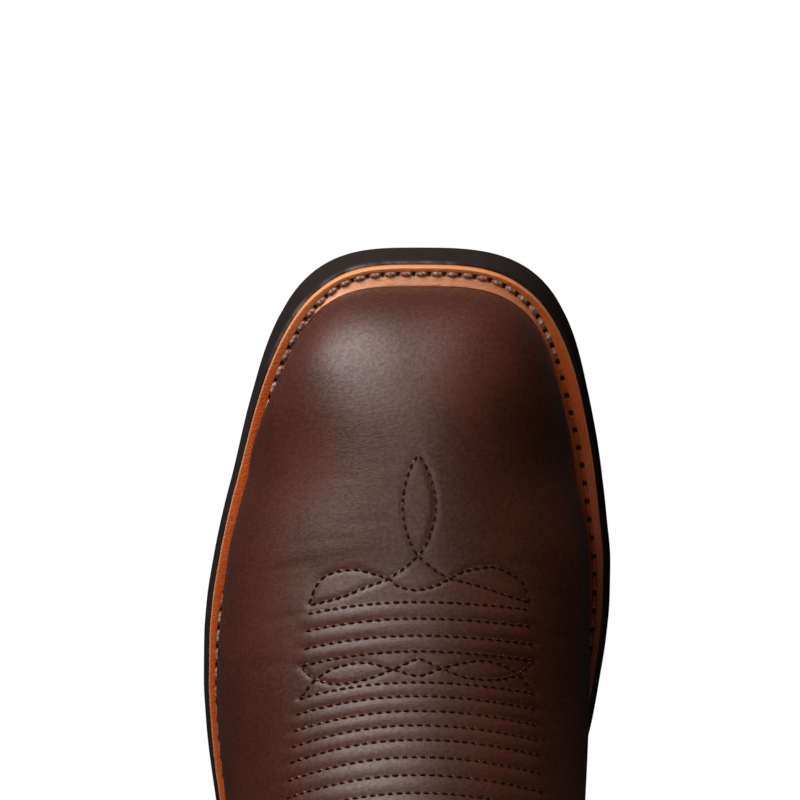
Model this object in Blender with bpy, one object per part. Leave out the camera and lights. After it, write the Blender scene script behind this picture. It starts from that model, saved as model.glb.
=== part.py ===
"""Roper boot for the left foot: a welted, pull-on leather boot with a broad square toe and a low heel.

Sizes are millimetres, turned into metres when a mesh is made. In the tables the length runs along Y from the
back of the heel (0) to the toe, Z is the height over the floor, and X is the side: medial is +X, lateral -X.
The finished part stands on the floor with its origin under the middle of the sole.
"""

import math

import bmesh
import bpy
import numpy as np
from mathutils import Vector

MM = 0.001
GAP = 0.3
OVERLAY_GAP = 0.6
MERGE = 0.02
SLIVER = 0.01

# Driving sizes
MIDDLE = (-2.95, 154.0, 0.0)
HEEL_BREAST = 63.0
HEEL_LIFT_HEIGHT = 6.0
HEEL_PITCH = 4.0
HEEL_SLOPE_ALLOWANCE = 1.01
WELT_END = 67.0
WELT_LIP = 1.1
WELT_UNDER = 5.0
WELT_SINK = 0.7
WELT_BEVEL = 0.4
INSOLE_THICKNESS = 3.5
INSOLE_MARGIN = 1.5
WALL = 2.2
OVERLAY = 1.2
COLLAR_DIP = 7.0

# Plan of the sole's edge: half widths at stations from the heel, before the two ends are rounded
SOLE_PLAN = {
    "station": (0, 20, 45, 70, 95, 120, 151, 174, 185, 197, 208, 219, 231, 248, 262, 304.87),
    "medial": (34, 34.5, 34.5, 33.5, 33, 36, 43.5, 50.1, 52.1, 54.0, 55.0, 55.2, 54.2, 52.2, 49.6, 38.8),
    "lateral": (34, 34.5, 35.5, 37.5, 42.5, 49.5, 57.1, 60.2, 60.8, 60.7, 59.9, 58.2, 55.8, 51.5, 48.0, 34.15),
}
SOLE_ENDS = {"toe length": 43.0, "toe round": (4.14, 3.13), "heel length": 34.0, "heel round": (2.1, 2.1)}

# Plan of the upper's lower edge, where it stands on the welt and the heel seat
FEATHER_PLAN = {
    "station": (4.6, 20, 45, 63, 95, 120, 155, 185, 219, 244, 264, 282, 295.8),
    "medial": (30, 30.5, 30.5, 29.8, 29.2, 31.5, 38.2, 43.7, 45.1, 42.6, 39.0, 37.2, 36.6),
    "lateral": (30, 30.5, 31.0, 33.0, 37.8, 43.6, 49.9, 52.9, 50.4, 45.7, 39.4, 35.3, 33.2),
}
FEATHER_ENDS = {"toe length": 51.8, "toe round": (4.0, 3.5), "heel length": 30.0, "heel round": (2.1, 2.1)}

# Side view of the sole: height of its top face, its thickness, and how far over it the upper's edge sits
SOLE_BED = {
    "station": (0, 30, 63, 86, 110, 135, 158, 176, 244, 268, 288, 306),
    "height": (36.5, 35.2, 32.8, 27.6, 20.2, 13.8, 10.7, 10.0, 10.0, 12.0, 16.2, 21.9),
}
SOLE_THICKNESS = {"station": (0, 66, 120, 165, 305), "height": (6.5, 6.5, 7.4, 10.0, 10.0)}
FEATHER_RISE = {"station": (0, 52, 67, 100, 305), "height": (0.3, 0.3, 1.7, 3.6, 3.6)}

# How far the sole's side leans out from its top lip to its tread
SOLE_FLARE = {
    "station": (0, 150, 174, 219, 250, 264, 272, 280, 290, 298, 305),
    "medial": (0.2, 0.4, 1.1, 1.45, 1.4, 1.3, 1.35, 1.6, 1.9, 1.8, 1.1),
    "lateral": (0.2, 0.4, 0.8, 1.0, 1.0, 1.1, 1.25, 1.6, 1.9, 1.8, 1.1),
}

# The sole's side from its top lip down: how far inside the edge, and how far down
SOLE_SIDE = {"inset": (0.9, 0.0, 0.0, 0.9), "down": (0.0, 0.09, 0.90, 1.0)}
FLARE_FOOT = SOLE_SIDE["down"][-2]

# The two layers of the heel: their shares of its height from the seat down, and how far inside the sole's edge
HEEL_LEVELS = {
    "name": ("heel_block", "heel_top_lift"),
    "top": (0.0, 0.8),
    "bottom": (0.78, 1.0),
    "inset": (0.9, 0.6),
}

# Sections of the foot, upright at the toe and leaning back round the ankle. Each runs from its crest on the
# front profile to a station on the sole: medial and lateral are the fullest half widths, and the low columns
# say how far down the section they lie (0 crest, 1 sole). Crown and tuck are the roundness over and under it.
FOOT_SECTIONS = {
    "name": ("toe box", "ball", "waist", "instep", "throat", "ankle", "seat", "heel", "heel back"),
    "crest_y": (244, 219, 185, 155, 141, 132.5, 127.5, 124.5, 122.8),
    "crest_z": (61.5, 67.5, 81.5, 100, 113.5, 127, 141, 154, 166),
    "end_y": (244, 219, 185, 155, 121, 86, 50, 20, 4.6),
    "medial": (42.6, 46.3, 45.8, 43.9, 41.6, 41.2, 41.0, 41.2, 41.6),
    "lateral": (45.7, 51.3, 54.1, 51.3, 47.4, 44.2, 42.2, 41.8, 42.0),
    "medial_low": (1.0, 0.76, 0.66, 0.55, 0.49, 0.46, 0.45, 0.45, 0.46),
    "lateral_low": (1.0, 0.78, 0.76, 0.73, 0.62, 0.52, 0.47, 0.45, 0.46),
    "crown": (2.0, 2.05, 2.0, 1.95, 1.98, 2.02, 2.06, 2.1, 2.1),
    "tuck": (2.0, 2.0, 2.0, 2.0, 2.1, 2.2, 2.3, 2.3, 2.3),
}

# Sections of the shaft, closed loops from the front profile to the back profile
SHAFT_SECTIONS = {
    "name": ("counter", "achilles", "calf low", "calf", "calf high", "collar"),
    "crest_y": (121.8, 121.2, 121.2, 122, 124, 127),
    "crest_z": (178, 192, 208, 228, 251, 275),
    "end_y": (1.4, 3.2, 7.6, 9.0, 7.2, 3.4),
    "end_z": (62, 90, 125, 165, 217, 275),
    "medial": (42.0, 42.4, 43.0, 44.0, 45.8, 48.0),
    "lateral": (42.4, 42.8, 43.4, 44.4, 46.2, 48.4),
    "medial_low": (0.47, 0.48, 0.49, 0.5, 0.5, 0.5),
    "lateral_low": (0.47, 0.48, 0.49, 0.5, 0.5, 0.5),
    "crown": (2.1, 2.1, 2.1, 2.1, 2.1, 2.1),
    "tuck": (2.25, 2.2, 2.15, 2.1, 2.1, 2.1),
}
TOE_ROW = 1
CLOSED_ROW = len(FOOT_SECTIONS["name"])
COLLAR_ROW = CLOSED_ROW + len(SHAFT_SECTIONS["name"])

# Round the toe the sections fan forward from the toe box down to the sole's edge
TOE_DROP = 0.26
TOE_PROFILE_ROUND = 3.0
TOE_SPRING = {"from": 244.0, "to": 306.0, "tilt": 0.35, "ease": 1.35}
CROWN_SHARE = 0.66

# Seam lines in the side view
VAMP_EDGE = {"z": (28, 60, 76, 88, 105, 125, 142, 153), "y": (66, 68, 73, 86, 101, 113, 120.5, 126.5)}
COUNTER_TOP = {"y": (0, 40, 76), "z": (104, 92, 77)}
COUNTER_OUTLINE = {"bottom": 15.0, "behind": -15.0, "reach": 80.0, "seam": 1.2}
SEAM_LINE = {"z": (70, 120, 275), "y": (71, 66, 64)}
VAMP_EVEN_ROW = 3.8

TREAD = {"first": 172.0, "last": 262.0, "count": 10, "width": 3.6, "depth": 2.2, "border": 10.0}
LIFT_TREAD = {"first": 18.0, "last": 48.0, "count": 4, "width": 3.0, "depth": 1.8, "border": 9.0}
CUTTER_SPARE = 4.0

BINDING = {"thickness": 1.2, "outside": 9.0, "inside": 7.0}
PIPING = {"width": 3.4, "height": 1.8, "edge": 0.6, "below strap": 1.5, "foot row": 7.9}
STRAP = {"edges": (0.575, 0.715), "thickness": 2.2, "outside": 52.0, "inside": 40.0}
STRAP_LOOP = {"height": 13.0, "slack": 3.0}
STRAP_LIFT = {"start": 9.0, "end": 1.0, "flat share": 0.7}

LEATHER = (0.062, 0.026, 0.018)
TAN = (0.50, 0.165, 0.035)
BOARD = (0.40, 0.26, 0.15)
STACK = (0.30, 0.17, 0.09)
RUBBER = (0.022, 0.017, 0.015)


def smooth(x, y, at):
    """A smooth curve through (x, y) that never overshoots its points (monotone cubic)."""
    x, y = np.asarray(x, float), np.asarray(y, float)
    at = np.clip(np.asarray(at, float), x[0], x[-1])
    step = np.diff(x)
    slope = np.diff(y) / step
    tangent = np.concatenate([slope[:1], np.zeros(len(slope) - 1), slope[-1:]])
    before, after = slope[:-1], slope[1:]
    turning = before * after <= 0
    safe_before, safe_after = np.where(turning, 1, before), np.where(turning, 1, after)
    heavy, light = 2 * step[1:] + step[:-1], step[1:] + 2 * step[:-1]
    mean = (heavy + light) / (heavy / safe_before + light / safe_after)
    tangent[1:-1] = np.where(turning, 0, mean)
    i = np.clip(np.searchsorted(x, at) - 1, 0, len(step) - 1)
    t = (at - x[i]) / step[i]
    start = y[i] * (1 + 2 * t) * (1 - t) ** 2 + step[i] * tangent[i] * t * (1 - t) ** 2
    end = y[i + 1] * t * t * (3 - 2 * t) - step[i] * tangent[i + 1] * t * t * (1 - t)
    return start + end


def along(table, column, at):
    """A table's column as a smooth curve over its first column."""
    return smooth(table[next(iter(table))], table[column], at)


def bent(x, y, over):
    """Points at a height over the sole's top face, measured square to it where it curves."""
    reach = 0.5
    rise = along(SOLE_BED, "height", y + reach) - along(SOLE_BED, "height", y - reach)
    tilt = np.arctan(rise / (2 * reach))
    return np.stack(np.broadcast_arrays(
        x, y - over * np.sin(tilt), along(SOLE_BED, "height", y) + over * np.cos(tilt)
    ), axis=-1)


def sprung(x, y, over):
    """Like bent, for the toe box: its tilt grows evenly from the ball to the tip."""
    share = np.clip((y - TOE_SPRING["from"]) / (TOE_SPRING["to"] - TOE_SPRING["from"]), 0, 1)
    tilt = TOE_SPRING["tilt"] * share ** TOE_SPRING["ease"]
    return np.stack(np.broadcast_arrays(
        x, y - over * np.sin(tilt), along(SOLE_BED, "height", y) + over * np.cos(tilt)
    ), axis=-1)


def half_width(plan, ends, side, y):
    """Half width of a plan at a station, with the toe and the heel rounded as superellipses."""
    first, last = plan["station"][0], plan["station"][-1]
    toe = np.clip(1 - (last - y) / ends["toe length"], 0, 1)
    heel = np.clip(1 - (y - first) / ends["heel length"], 0, 1)
    toe_part = (1 - toe ** ends["toe round"][0]) ** (1 / ends["toe round"][1])
    heel_part = (1 - heel ** ends["heel round"][0]) ** (1 / ends["heel round"][1])
    return along(plan, side, y) * toe_part * heel_part


class PlanLoop:
    """A plan's edge as a loop of points: heel back, medial side, toe, lateral side."""

    TOE_STEPS, SIDE_STEPS, HEEL_STEPS = 12, 19, 8
    TOE_SPACING = 0.75

    def __init__(self, plan, ends):
        first, last = plan["station"][0], plan["station"][-1]
        turn = np.linspace(0, math.pi / 2, self.TOE_STEPS)
        toe = last - ends["toe length"] * (1 - np.sin(turn) ** self.TOE_SPACING)
        turn = np.linspace(math.pi / 2, 0, self.HEEL_STEPS)
        heel = first + ends["heel length"] * (1 - np.sin(turn))
        sides = np.linspace(heel[-1], toe[0], self.SIDE_STEPS)[1:-1]
        y = np.concatenate([heel, sides, toe])
        self.tip = len(y) - 1
        medial = np.stack([half_width(plan, ends, "medial", y), y], axis=1)
        lateral = np.stack([-half_width(plan, ends, "lateral", y), y], axis=1)
        self.points = np.concatenate([medial, lateral[-2:0:-1]])
        self.total = len(self.points)
        ahead = np.roll(self.points, -1, axis=0) - np.roll(self.points, 1, axis=0)
        ahead /= np.linalg.norm(ahead, axis=1)[:, None]
        self.outward = np.stack([ahead[:, 1], -ahead[:, 0]], axis=1)

    def inset(self, distance):
        """The loop moved inwards, by one distance or by one for each point."""
        return self.points - self.outward * np.broadcast_to(distance, self.total)[:, None]

    def strips(self, start, upto=None):
        """Faces that close the loop from side to side, up to a station's number."""
        faces = []
        for k in range(self.tip if upto is None else upto):
            ring = (k, k + 1, (self.total - k - 1) % self.total, (self.total - k) % self.total)
            faces.append([start + i for i in dict.fromkeys(ring)])
        return faces


SOLE = PlanLoop(SOLE_PLAN, SOLE_ENDS)
FEATHER = PlanLoop(FEATHER_PLAN, FEATHER_ENDS)


def sole_lean():
    """How far the sole's side leans out at each point of its edge."""
    x, y = SOLE.points.T
    return np.where(x > 0, along(SOLE_FLARE, "medial", y), along(SOLE_FLARE, "lateral", y))


def rows_of(column):
    return np.array(FOOT_SECTIONS[column] + SHAFT_SECTIONS[column], float)


def last_form(u, v):
    """The upper's outer form. u runs from the toe's edge (0) over the toe box (1) and the rows of the two
    section tables to the collar; v runs from the lateral end (-1) over the crest (0) to the medial end (1)."""
    u, v = np.broadcast_arrays(np.asarray(u, float), np.asarray(v, float))
    row = np.arange(TOE_ROW, COLLAR_ROW + 1)
    at = np.maximum(u, TOE_ROW)
    column = {name: smooth(row, rows_of(name), at) for name in FOOT_SECTIONS if name not in ("name",)}
    medial = v >= 0
    full = np.where(medial, column["medial"], column["lateral"])
    low = np.where(medial, column["medial_low"], column["lateral_low"])
    end_y = column["end_y"]
    rise = along(FEATHER_RISE, "height", end_y)
    seat = bent(0.0, end_y, rise)
    heel_z = bent(0.0, np.array(FOOT_SECTIONS["end_y"][-1]), FEATHER_RISE["height"][0])[2]
    back_z = smooth(row[CLOSED_ROW - 1:], (heel_z,) + SHAFT_SECTIONS["end_z"], at)
    closed = at >= CLOSED_ROW
    end_z = np.where(closed, back_z, seat[..., 2])
    edge = np.where(
        medial,
        half_width(FEATHER_PLAN, FEATHER_ENDS, "medial", end_y),
        half_width(FEATHER_PLAN, FEATHER_ENDS, "lateral", end_y),
    )
    edge = np.where(closed, 0.0, edge)

    fan = np.clip(1 - u / TOE_ROW, 0, 1)
    turn = (1 - fan) * math.pi / 2
    front, up = np.cos(turn) ** (2 / TOE_PROFILE_ROUND), np.sin(turn) ** (2 / TOE_PROFILE_ROUND)
    reach = FEATHER_ENDS["toe length"]
    toe_rise = FEATHER_RISE["height"][-1]
    toe_bed = along(SOLE_BED, "height", FOOT_SECTIONS["end_y"][0])
    toe_height = FOOT_SECTIONS["crest_z"][0] - toe_bed - toe_rise
    crest_y = column["crest_y"] + reach * np.where(fan > 0, front, 0)
    crest_z = np.where(fan > 0, toe_rise + toe_height * up * (1 - TOE_DROP * front), column["crest_z"])
    end_z = np.where(fan > 0, toe_rise, end_z)
    flat = np.cos(turn) ** 2
    side_round = column["crown"] + (FEATHER_ENDS["toe round"][1] - column["crown"]) * flat
    front_round = column["crown"] + (FEATHER_ENDS["toe round"][0] - column["crown"]) * flat

    over = np.clip(np.abs(v) / CROWN_SHARE, 0, 1) * math.pi / 2
    ahead = np.cos(over) ** (2 / front_round)
    taper = np.where(
        medial,
        along(FEATHER_PLAN, "medial", end_y + reach * ahead) / along(FEATHER_PLAN, "medial", end_y),
        along(FEATHER_PLAN, "lateral", end_y + reach * ahead) / along(FEATHER_PLAN, "lateral", end_y),
    )
    x_crown = full * np.sin(over) ** (2 / side_round) * (1 + (taper - 1) * flat)
    share = np.clip((np.abs(v) - CROWN_SHARE) / (1 - CROWN_SHARE), 0, 1)
    tuck = column["tuck"]
    last_turn = np.arccos(np.clip(edge / full, 0, 1) ** (tuck / 2))
    under = share * last_turn
    x_tuck = full * np.cos(under) ** (2 / tuck)
    reached = np.sin(under) ** (2 / tuck) / np.maximum(np.sin(last_turn), 1e-6) ** (2 / tuck)
    below = np.abs(v) > CROWN_SHARE
    x = np.where(below, x_tuck, x_crown)
    down = np.where(below, low + (1 - low) * reached, low * (1 - ahead))
    y = crest_y + (end_y - crest_y) * down
    z = crest_z + (end_z - crest_z) * down
    dip = np.clip((u - CLOSED_ROW - 1) / (COLLAR_ROW - CLOSED_ROW - 1), 0, 1) ** 2
    z = z - COLLAR_DIP * dip * np.cos(math.pi * down) ** 2
    x = np.where(medial, x, -x)
    toe = sprung(x, y, z)
    return np.where((fan > 0)[..., None], toe, np.stack([x, y, z], axis=-1))


def last_offset(u, v, distance):
    """The form moved outwards along its normals; a negative distance moves it inwards."""
    u, v = np.broadcast_arrays(np.asarray(u, float), np.asarray(v, float))
    step_u, step_v = 0.004, 0.004
    pivot = (np.abs(v) >= 1) & (u < TOE_ROW)
    near_u = np.clip(np.where(pivot, TOE_ROW, u), 2 * step_u, COLLAR_ROW - 2 * step_u)
    near_v = np.clip(v, step_v - 1, 1 - step_v)
    along_u = last_form(near_u + step_u, near_v) - last_form(near_u - step_u, near_v)
    along_v = last_form(near_u, near_v + step_v) - last_form(near_u, near_v - step_v)
    normal = np.cross(along_u, along_v)
    normal /= np.linalg.norm(normal, axis=-1, keepdims=True)
    seam = (np.abs(v) >= 1) & (u >= CLOSED_ROW)
    normal[..., 0] = np.where(seam, 0, normal[..., 0])
    normal /= np.linalg.norm(normal, axis=-1, keepdims=True)
    moved = last_form(u, v) + normal * np.asarray(distance, float)[..., None]
    moved[..., 0] = np.where(seam, 0, moved[..., 0])
    return moved


def finish(name, colour, roughness):
    made = bpy.data.materials.new(name)
    made.use_nodes = True
    shader = made.node_tree.nodes["Principled BSDF"]
    shader.inputs["Base Color"].default_value = (*colour, 1)
    shader.inputs["Roughness"].default_value = roughness
    return made


def piece(name, points, faces, colour, roughness, keep_sharp=40):
    """One named solid from points in millimetres. Points that coincide are joined, and empty faces dropped."""
    middle = Vector(MIDDLE)
    shape = bmesh.new()
    corners = [shape.verts.new((Vector(p) - middle) * MM) for p in np.asarray(points, float)]
    for face in faces:
        shape.faces.new([corners[i] for i in face])
    bmesh.ops.remove_doubles(shape, verts=shape.verts, dist=MERGE * MM)
    bmesh.ops.dissolve_degenerate(shape, edges=shape.edges, dist=SLIVER * MM)
    bmesh.ops.recalc_face_normals(shape, faces=shape.faces)
    mesh = bpy.data.meshes.new(name)
    shape.to_mesh(mesh)
    shape.free()
    mesh.shade_smooth()
    mesh.set_sharp_from_angle(angle=math.radians(keep_sharp))
    made = bpy.data.objects.new(name, mesh)
    made.data.materials.append(finish(name, colour, roughness))
    bpy.context.scene.collection.objects.link(made)
    return made


def cut(body, cutter, operation="DIFFERENCE"):
    cutter.hide_render = True
    cutter.display_type = "WIRE"
    modifier = body.modifiers.new(cutter.name, "BOOLEAN")
    modifier.operation = operation
    modifier.solver = "EXACT"
    modifier.object = cutter


def grid(rows, columns, start=0, closed=False):
    """Quads over points numbered row by row. A closed grid joins its last column to its first."""
    faces = []
    for r in range(rows - 1):
        for c in range(columns if closed else columns - 1):
            left, right = start + r * columns + c, start + r * columns + (c + 1) % columns
            faces.append((left, right, right + columns, left + columns))
    return faces


def boxes(centres, sizes):
    """Points and faces of a row of separate boxes."""
    corner = np.array([(x, y, z) for x in (-1, 1) for y in (-1, 1) for z in (-1, 1)]) / 2
    sides = ((0, 1, 3, 2), (4, 6, 7, 5), (0, 4, 5, 1), (2, 3, 7, 6), (0, 2, 6, 4), (1, 5, 7, 3))
    points = [np.asarray(c) + corner * np.asarray(s) for c, s in zip(centres, sizes)]
    faces = [[8 * k + i for i in side] for k in range(len(points)) for side in sides]
    return np.concatenate(points), faces


def make_outsole():
    """Rings down the sole's side, closed across its top and bottom, then the tread's bars cut apart."""
    rings = []
    lean = sole_lean()
    for inset, down in zip(SOLE_SIDE["inset"], SOLE_SIDE["down"]):
        plan = SOLE.inset(inset + max(0, 1 - down / FLARE_FOOT) * lean)
        depth = along(SOLE_THICKNESS, "height", SOLE.points[:, 1])
        rings.append(bent(plan[:, 0], plan[:, 1], -down * depth))
    faces = grid(len(rings), SOLE.total, closed=True)
    faces += SOLE.strips(0) + SOLE.strips((len(rings) - 1) * SOLE.total)
    sole = piece("outsole", np.concatenate(rings), faces, RUBBER, 0.55)
    stations = np.linspace(TREAD["first"], TREAD["last"], TREAD["count"])
    medial = half_width(SOLE_PLAN, SOLE_ENDS, "medial", stations) - TREAD["border"]
    lateral = half_width(SOLE_PLAN, SOLE_ENDS, "lateral", stations) - TREAD["border"]
    under = bent(0.0, stations, -along(SOLE_THICKNESS, "height", stations))
    height = under[:, 2] + (TREAD["depth"] - CUTTER_SPARE) / 2
    centres = np.stack([(medial - lateral) / 2, under[:, 1], height], axis=1)
    sizes = [(w, TREAD["width"], TREAD["depth"] + CUTTER_SPARE) for w in medial + lateral]
    cut(sole, piece("tread_grooves", *boxes(centres, sizes), RUBBER, 0.6))


def heel_ring(inset, share):
    """The heel's plan from breast to breast round the back. Share 0 is at the seat, 1 at the floor."""
    plan = SOLE.inset(inset)
    inside = SOLE.points[:, 1] < HEEL_BREAST
    medial, lateral = plan[: SOLE.tip][inside[: SOLE.tip]], plan[SOLE.tip:][inside[SOLE.tip:]]
    first = [(inset - half_width(SOLE_PLAN, SOLE_ENDS, "lateral", HEEL_BREAST), HEEL_BREAST)]
    last = [(half_width(SOLE_PLAN, SOLE_ENDS, "medial", HEEL_BREAST) - inset, HEEL_BREAST)]
    ring = np.concatenate([first, lateral, medial, last])
    ring[:, 1] += HEEL_PITCH * share * (1 - ring[:, 1] / HEEL_BREAST)
    return ring


def heel_faces(total):
    """Sides of a heel piece between its two rings, and both ends closed in strips from side to side."""
    faces = grid(2, total, closed=True)
    for start in (0, total):
        for k in range(total // 2):
            ring = (k, k + 1, total - 2 - k, total - 1 - k)
            faces.append([start + i for i in dict.fromkeys(ring)])
    return faces


def make_heel():
    """The heel block follows the sole above it, and the rubber lift carries it on the floor."""
    made = {}
    for name, top, bottom, inset in zip(*HEEL_LEVELS.values()):
        above, below = heel_ring(inset, top), heel_ring(inset, bottom)
        if name == "heel_block":
            depth = along(SOLE_THICKNESS, "height", above[:, 1]) + GAP
            high = along(SOLE_BED, "height", above[:, 1]) - depth * HEEL_SLOPE_ALLOWANCE
            low, colour = HEEL_LIFT_HEIGHT + GAP, STACK
        else:
            high, low, colour = HEEL_LIFT_HEIGHT, 0.0, RUBBER
        rings = [np.insert(ring, 2, level, axis=1) for ring, level in ((above, high), (below, low))]
        made[name] = piece(name, np.concatenate(rings), heel_faces(len(above)), colour, 0.5)
    stations = np.linspace(LIFT_TREAD["first"], LIFT_TREAD["last"], LIFT_TREAD["count"])
    width = 2 * (half_width(SOLE_PLAN, SOLE_ENDS, "medial", stations) - LIFT_TREAD["border"])
    centres = [(0, y, (LIFT_TREAD["depth"] - CUTTER_SPARE) / 2) for y in stations]
    sizes = [(w, LIFT_TREAD["width"], LIFT_TREAD["depth"] + CUTTER_SPARE) for w in width]
    cut(made["heel_top_lift"], piece("lift_grooves", *boxes(centres, sizes), RUBBER, 0.6))


def make_welt():
    """A flat strip round the forefoot, thinned where its ends meet the heel."""
    keep = np.flatnonzero(SOLE.points[:, 1] >= WELT_END)
    lean = sole_lean()
    outer, inner = SOLE.inset(WELT_LIP + lean)[keep], FEATHER.inset(WELT_UNDER)[keep]
    height = along(FEATHER_RISE, "height", outer[:, 1]) - WELT_SINK
    inward = inner - outer
    inward /= np.linalg.norm(inward, axis=1)[:, None]
    profile = (
        (outer, np.full(len(keep), GAP)),
        (outer, height - WELT_BEVEL),
        (outer + inward * WELT_BEVEL, height),
        (inner, height),
        (inner, np.full(len(keep), GAP)),
    )
    points = np.stack([bent(plan[:, 0], plan[:, 1], over) for plan, over in profile], axis=1)
    rows, columns = points.shape[:2]
    faces = grid(rows, columns, closed=True)
    faces += [range(columns), range((rows - 1) * columns, rows * columns)]
    piece("welt", points.reshape(-1, 3), faces, TAN, 0.45)


def make_insole():
    """A board inside the upper, with a lower part that fills the space between the welt's two sides."""
    rise = along(FEATHER_RISE, "height", FEATHER.points[:, 1])
    over = rise + OVERLAY_GAP
    edge, rib = FEATHER.inset(WALL + INSOLE_MARGIN), FEATHER.inset(WELT_UNDER + OVERLAY_GAP)
    levels = (
        (rib, 0 * rise + GAP),
        (rib, np.maximum(rise, 2 * GAP)),
        (edge, over),
        (edge, over + INSOLE_THICKNESS),
    )
    points = np.concatenate([bent(plan[:, 0], plan[:, 1], height) for plan, height in levels])
    faces = grid(len(levels), FEATHER.total, closed=True)
    faces += FEATHER.strips(0) + FEATHER.strips((len(levels) - 1) * FEATHER.total)
    piece("insole", points, faces, BOARD, 0.7)


def shell(name, patches, inside, outside, colour, roughness):
    """A wall over one or more patches of the upper's form, between two distances from it. Patches that meet
    are joined, and the wall is closed round every free edge. A patch is a grid of u and a grid of v."""
    u = np.concatenate([patch[0].ravel() for patch in patches])
    v = np.concatenate([patch[1].ravel() for patch in patches])
    quads, start = [], 0
    for patch in patches:
        quads += grid(*patch[0].shape, start=start)
        start += patch[0].size
    places, first, same = np.unique(
        np.round(last_form(u, v), 3) + 0.0, axis=0, return_index=True, return_inverse=True
    )
    same, total = same.ravel(), len(first)
    sheet, edges, normal = [], {}, np.zeros_like(places)
    for quad in quads:
        face = list(dict.fromkeys(int(same[i]) for i in quad))
        if len(face) > 2:
            sheet.append(face)
            edges.update({edge: edge[::-1] for edge in zip(face, face[1:] + face[:1])})
            corner = places[face]
            normal[face] += np.cross(corner[2] - corner[0], corner[-1] - corner[1])
    normal /= np.linalg.norm(normal, axis=1)[:, None]
    free = [edge for edge, twin in edges.items() if twin not in edges]
    faces = sheet + [[total + i for i in face[::-1]] for face in sheet]
    faces += [(b, a, total + a, total + b) for a, b in free]
    sides = []
    for distance in (outside, inside):
        distance = np.broadcast_to(np.asarray(distance, float), u.shape)[first]
        moved = places - normal * distance[:, None]
        lowest = bent(0.0, moved[:, 1], along(FEATHER_RISE, "height", moved[:, 1]))[:, 2]
        moved[:, 2] = np.maximum(moved[:, 2], lowest)
        sides.append(moved)
    return piece(name, np.concatenate(sides), faces, colour, roughness)


def upper_grid():
    """Where the upper's sections and the points along them are taken, close together where it turns."""
    toe = np.array([0, 0.1, 0.24, 0.41, 0.6, 0.8])
    foot = np.linspace(TOE_ROW, CLOSED_ROW - 1, 13)[:-1]
    heel = CLOSED_ROW - 1 + np.array([0, 0.4, 0.7, 0.88, 0.97])
    ankle = CLOSED_ROW + np.array([0, 0.35, 0.7])
    shaft = np.arange(CLOSED_ROW + 1, COLLAR_ROW + 1)
    crown = np.linspace(0, CROWN_SHARE, 11)
    tuck = np.linspace(CROWN_SHARE, 1, 7)[1:]
    side = np.concatenate([crown, tuck])
    return np.concatenate([toe, foot, heel, ankle, shaft]), np.concatenate([-side[:0:-1], side])


def leaves(v, inside):
    """For each v, the u at which the form first leaves a region of the side view."""
    u = np.linspace(0, COLLAR_ROW, 1201)
    place = last_form(u[:, None], np.asarray(v)[None, :])
    depth = inside(place[..., 1], place[..., 2])
    k = np.maximum((depth < 0).argmax(axis=0), 1)
    j = np.arange(len(v))
    before, after = depth[k - 1, j], depth[k, j]
    share = np.clip(before / np.where(before == after, 1, before - after), 0, 1)
    return u[k - 1] + share * (u[k] - u[k - 1])


def vamp_side(y, z):
    return y - along(VAMP_EDGE, "y", z)


def make_upper():
    u, v = upper_grid()
    shell("upper", [np.meshgrid(u, v, indexing="ij")], -WALL, 0.0, LEATHER, 0.42)


def make_vamp():
    """The foot's leather, from the toe's edge to a seam that climbs to a tongue at the throat."""
    u, v = upper_grid()
    edge = leaves(v, vamp_side)
    front, back = u[u <= VAMP_EVEN_ROW], np.linspace(0, 1, 10)[1:]
    climb = VAMP_EVEN_ROW + back[:, None] * (edge[None, :] - VAMP_EVEN_ROW)
    uu = np.concatenate([np.repeat(front[:, None], len(v), axis=1), climb])
    vv = np.broadcast_to(v, uu.shape)
    shell("vamp", [(uu, vv)], OVERLAY_GAP, OVERLAY_GAP + OVERLAY, LEATHER, 0.4)


def make_counter():
    """A cup round the heel: a wall over the back of the form, cut to its outline in the side view."""
    u = upper_grid()[0]
    u = u[(u > CLOSED_ROW - 3) & (u < CLOSED_ROW + 3.5)]
    u = np.sort(np.concatenate([u, (u[1:] + u[:-1]) / 2]))
    side = np.linspace(0.5, 1, 12)
    patches = [np.meshgrid(u, v, indexing="ij") for v in (-side[::-1], side)]
    counter = shell("heel_counter", patches, OVERLAY_GAP, OVERLAY_GAP + OVERLAY, LEATHER, 0.42)
    z = np.linspace(COUNTER_OUTLINE["bottom"], COUNTER_TOP["z"][-1], 9)
    front = np.stack([along(VAMP_EDGE, "y", z) - COUNTER_OUTLINE["seam"], z], axis=1)
    y = np.linspace(front[-1, 0], 0, 14)[1:]
    top = np.stack([y, along(COUNTER_TOP, "z", y)], axis=1)
    behind = [(COUNTER_OUTLINE["behind"], height) for height in (top[-1, 1], z[0])]
    outline = np.concatenate([front, top, behind])
    count = len(outline)
    reach = COUNTER_OUTLINE["reach"]
    points = np.concatenate([np.insert(outline, 0, x, axis=1) for x in (-reach, reach)])
    faces = grid(2, count, closed=True) + [range(count), range(count, 2 * count)]
    cut(counter, piece("counter_outline", points, faces, LEATHER, 0.5), "INTERSECT")


def below_collar(v, depth):
    """The u of the form at a depth under the collar's edge."""
    part = 0.3
    drop = np.linalg.norm(last_form(COLLAR_ROW, v) - last_form(COLLAR_ROW - part, v), axis=-1)
    return COLLAR_ROW - depth * part / drop


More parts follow.
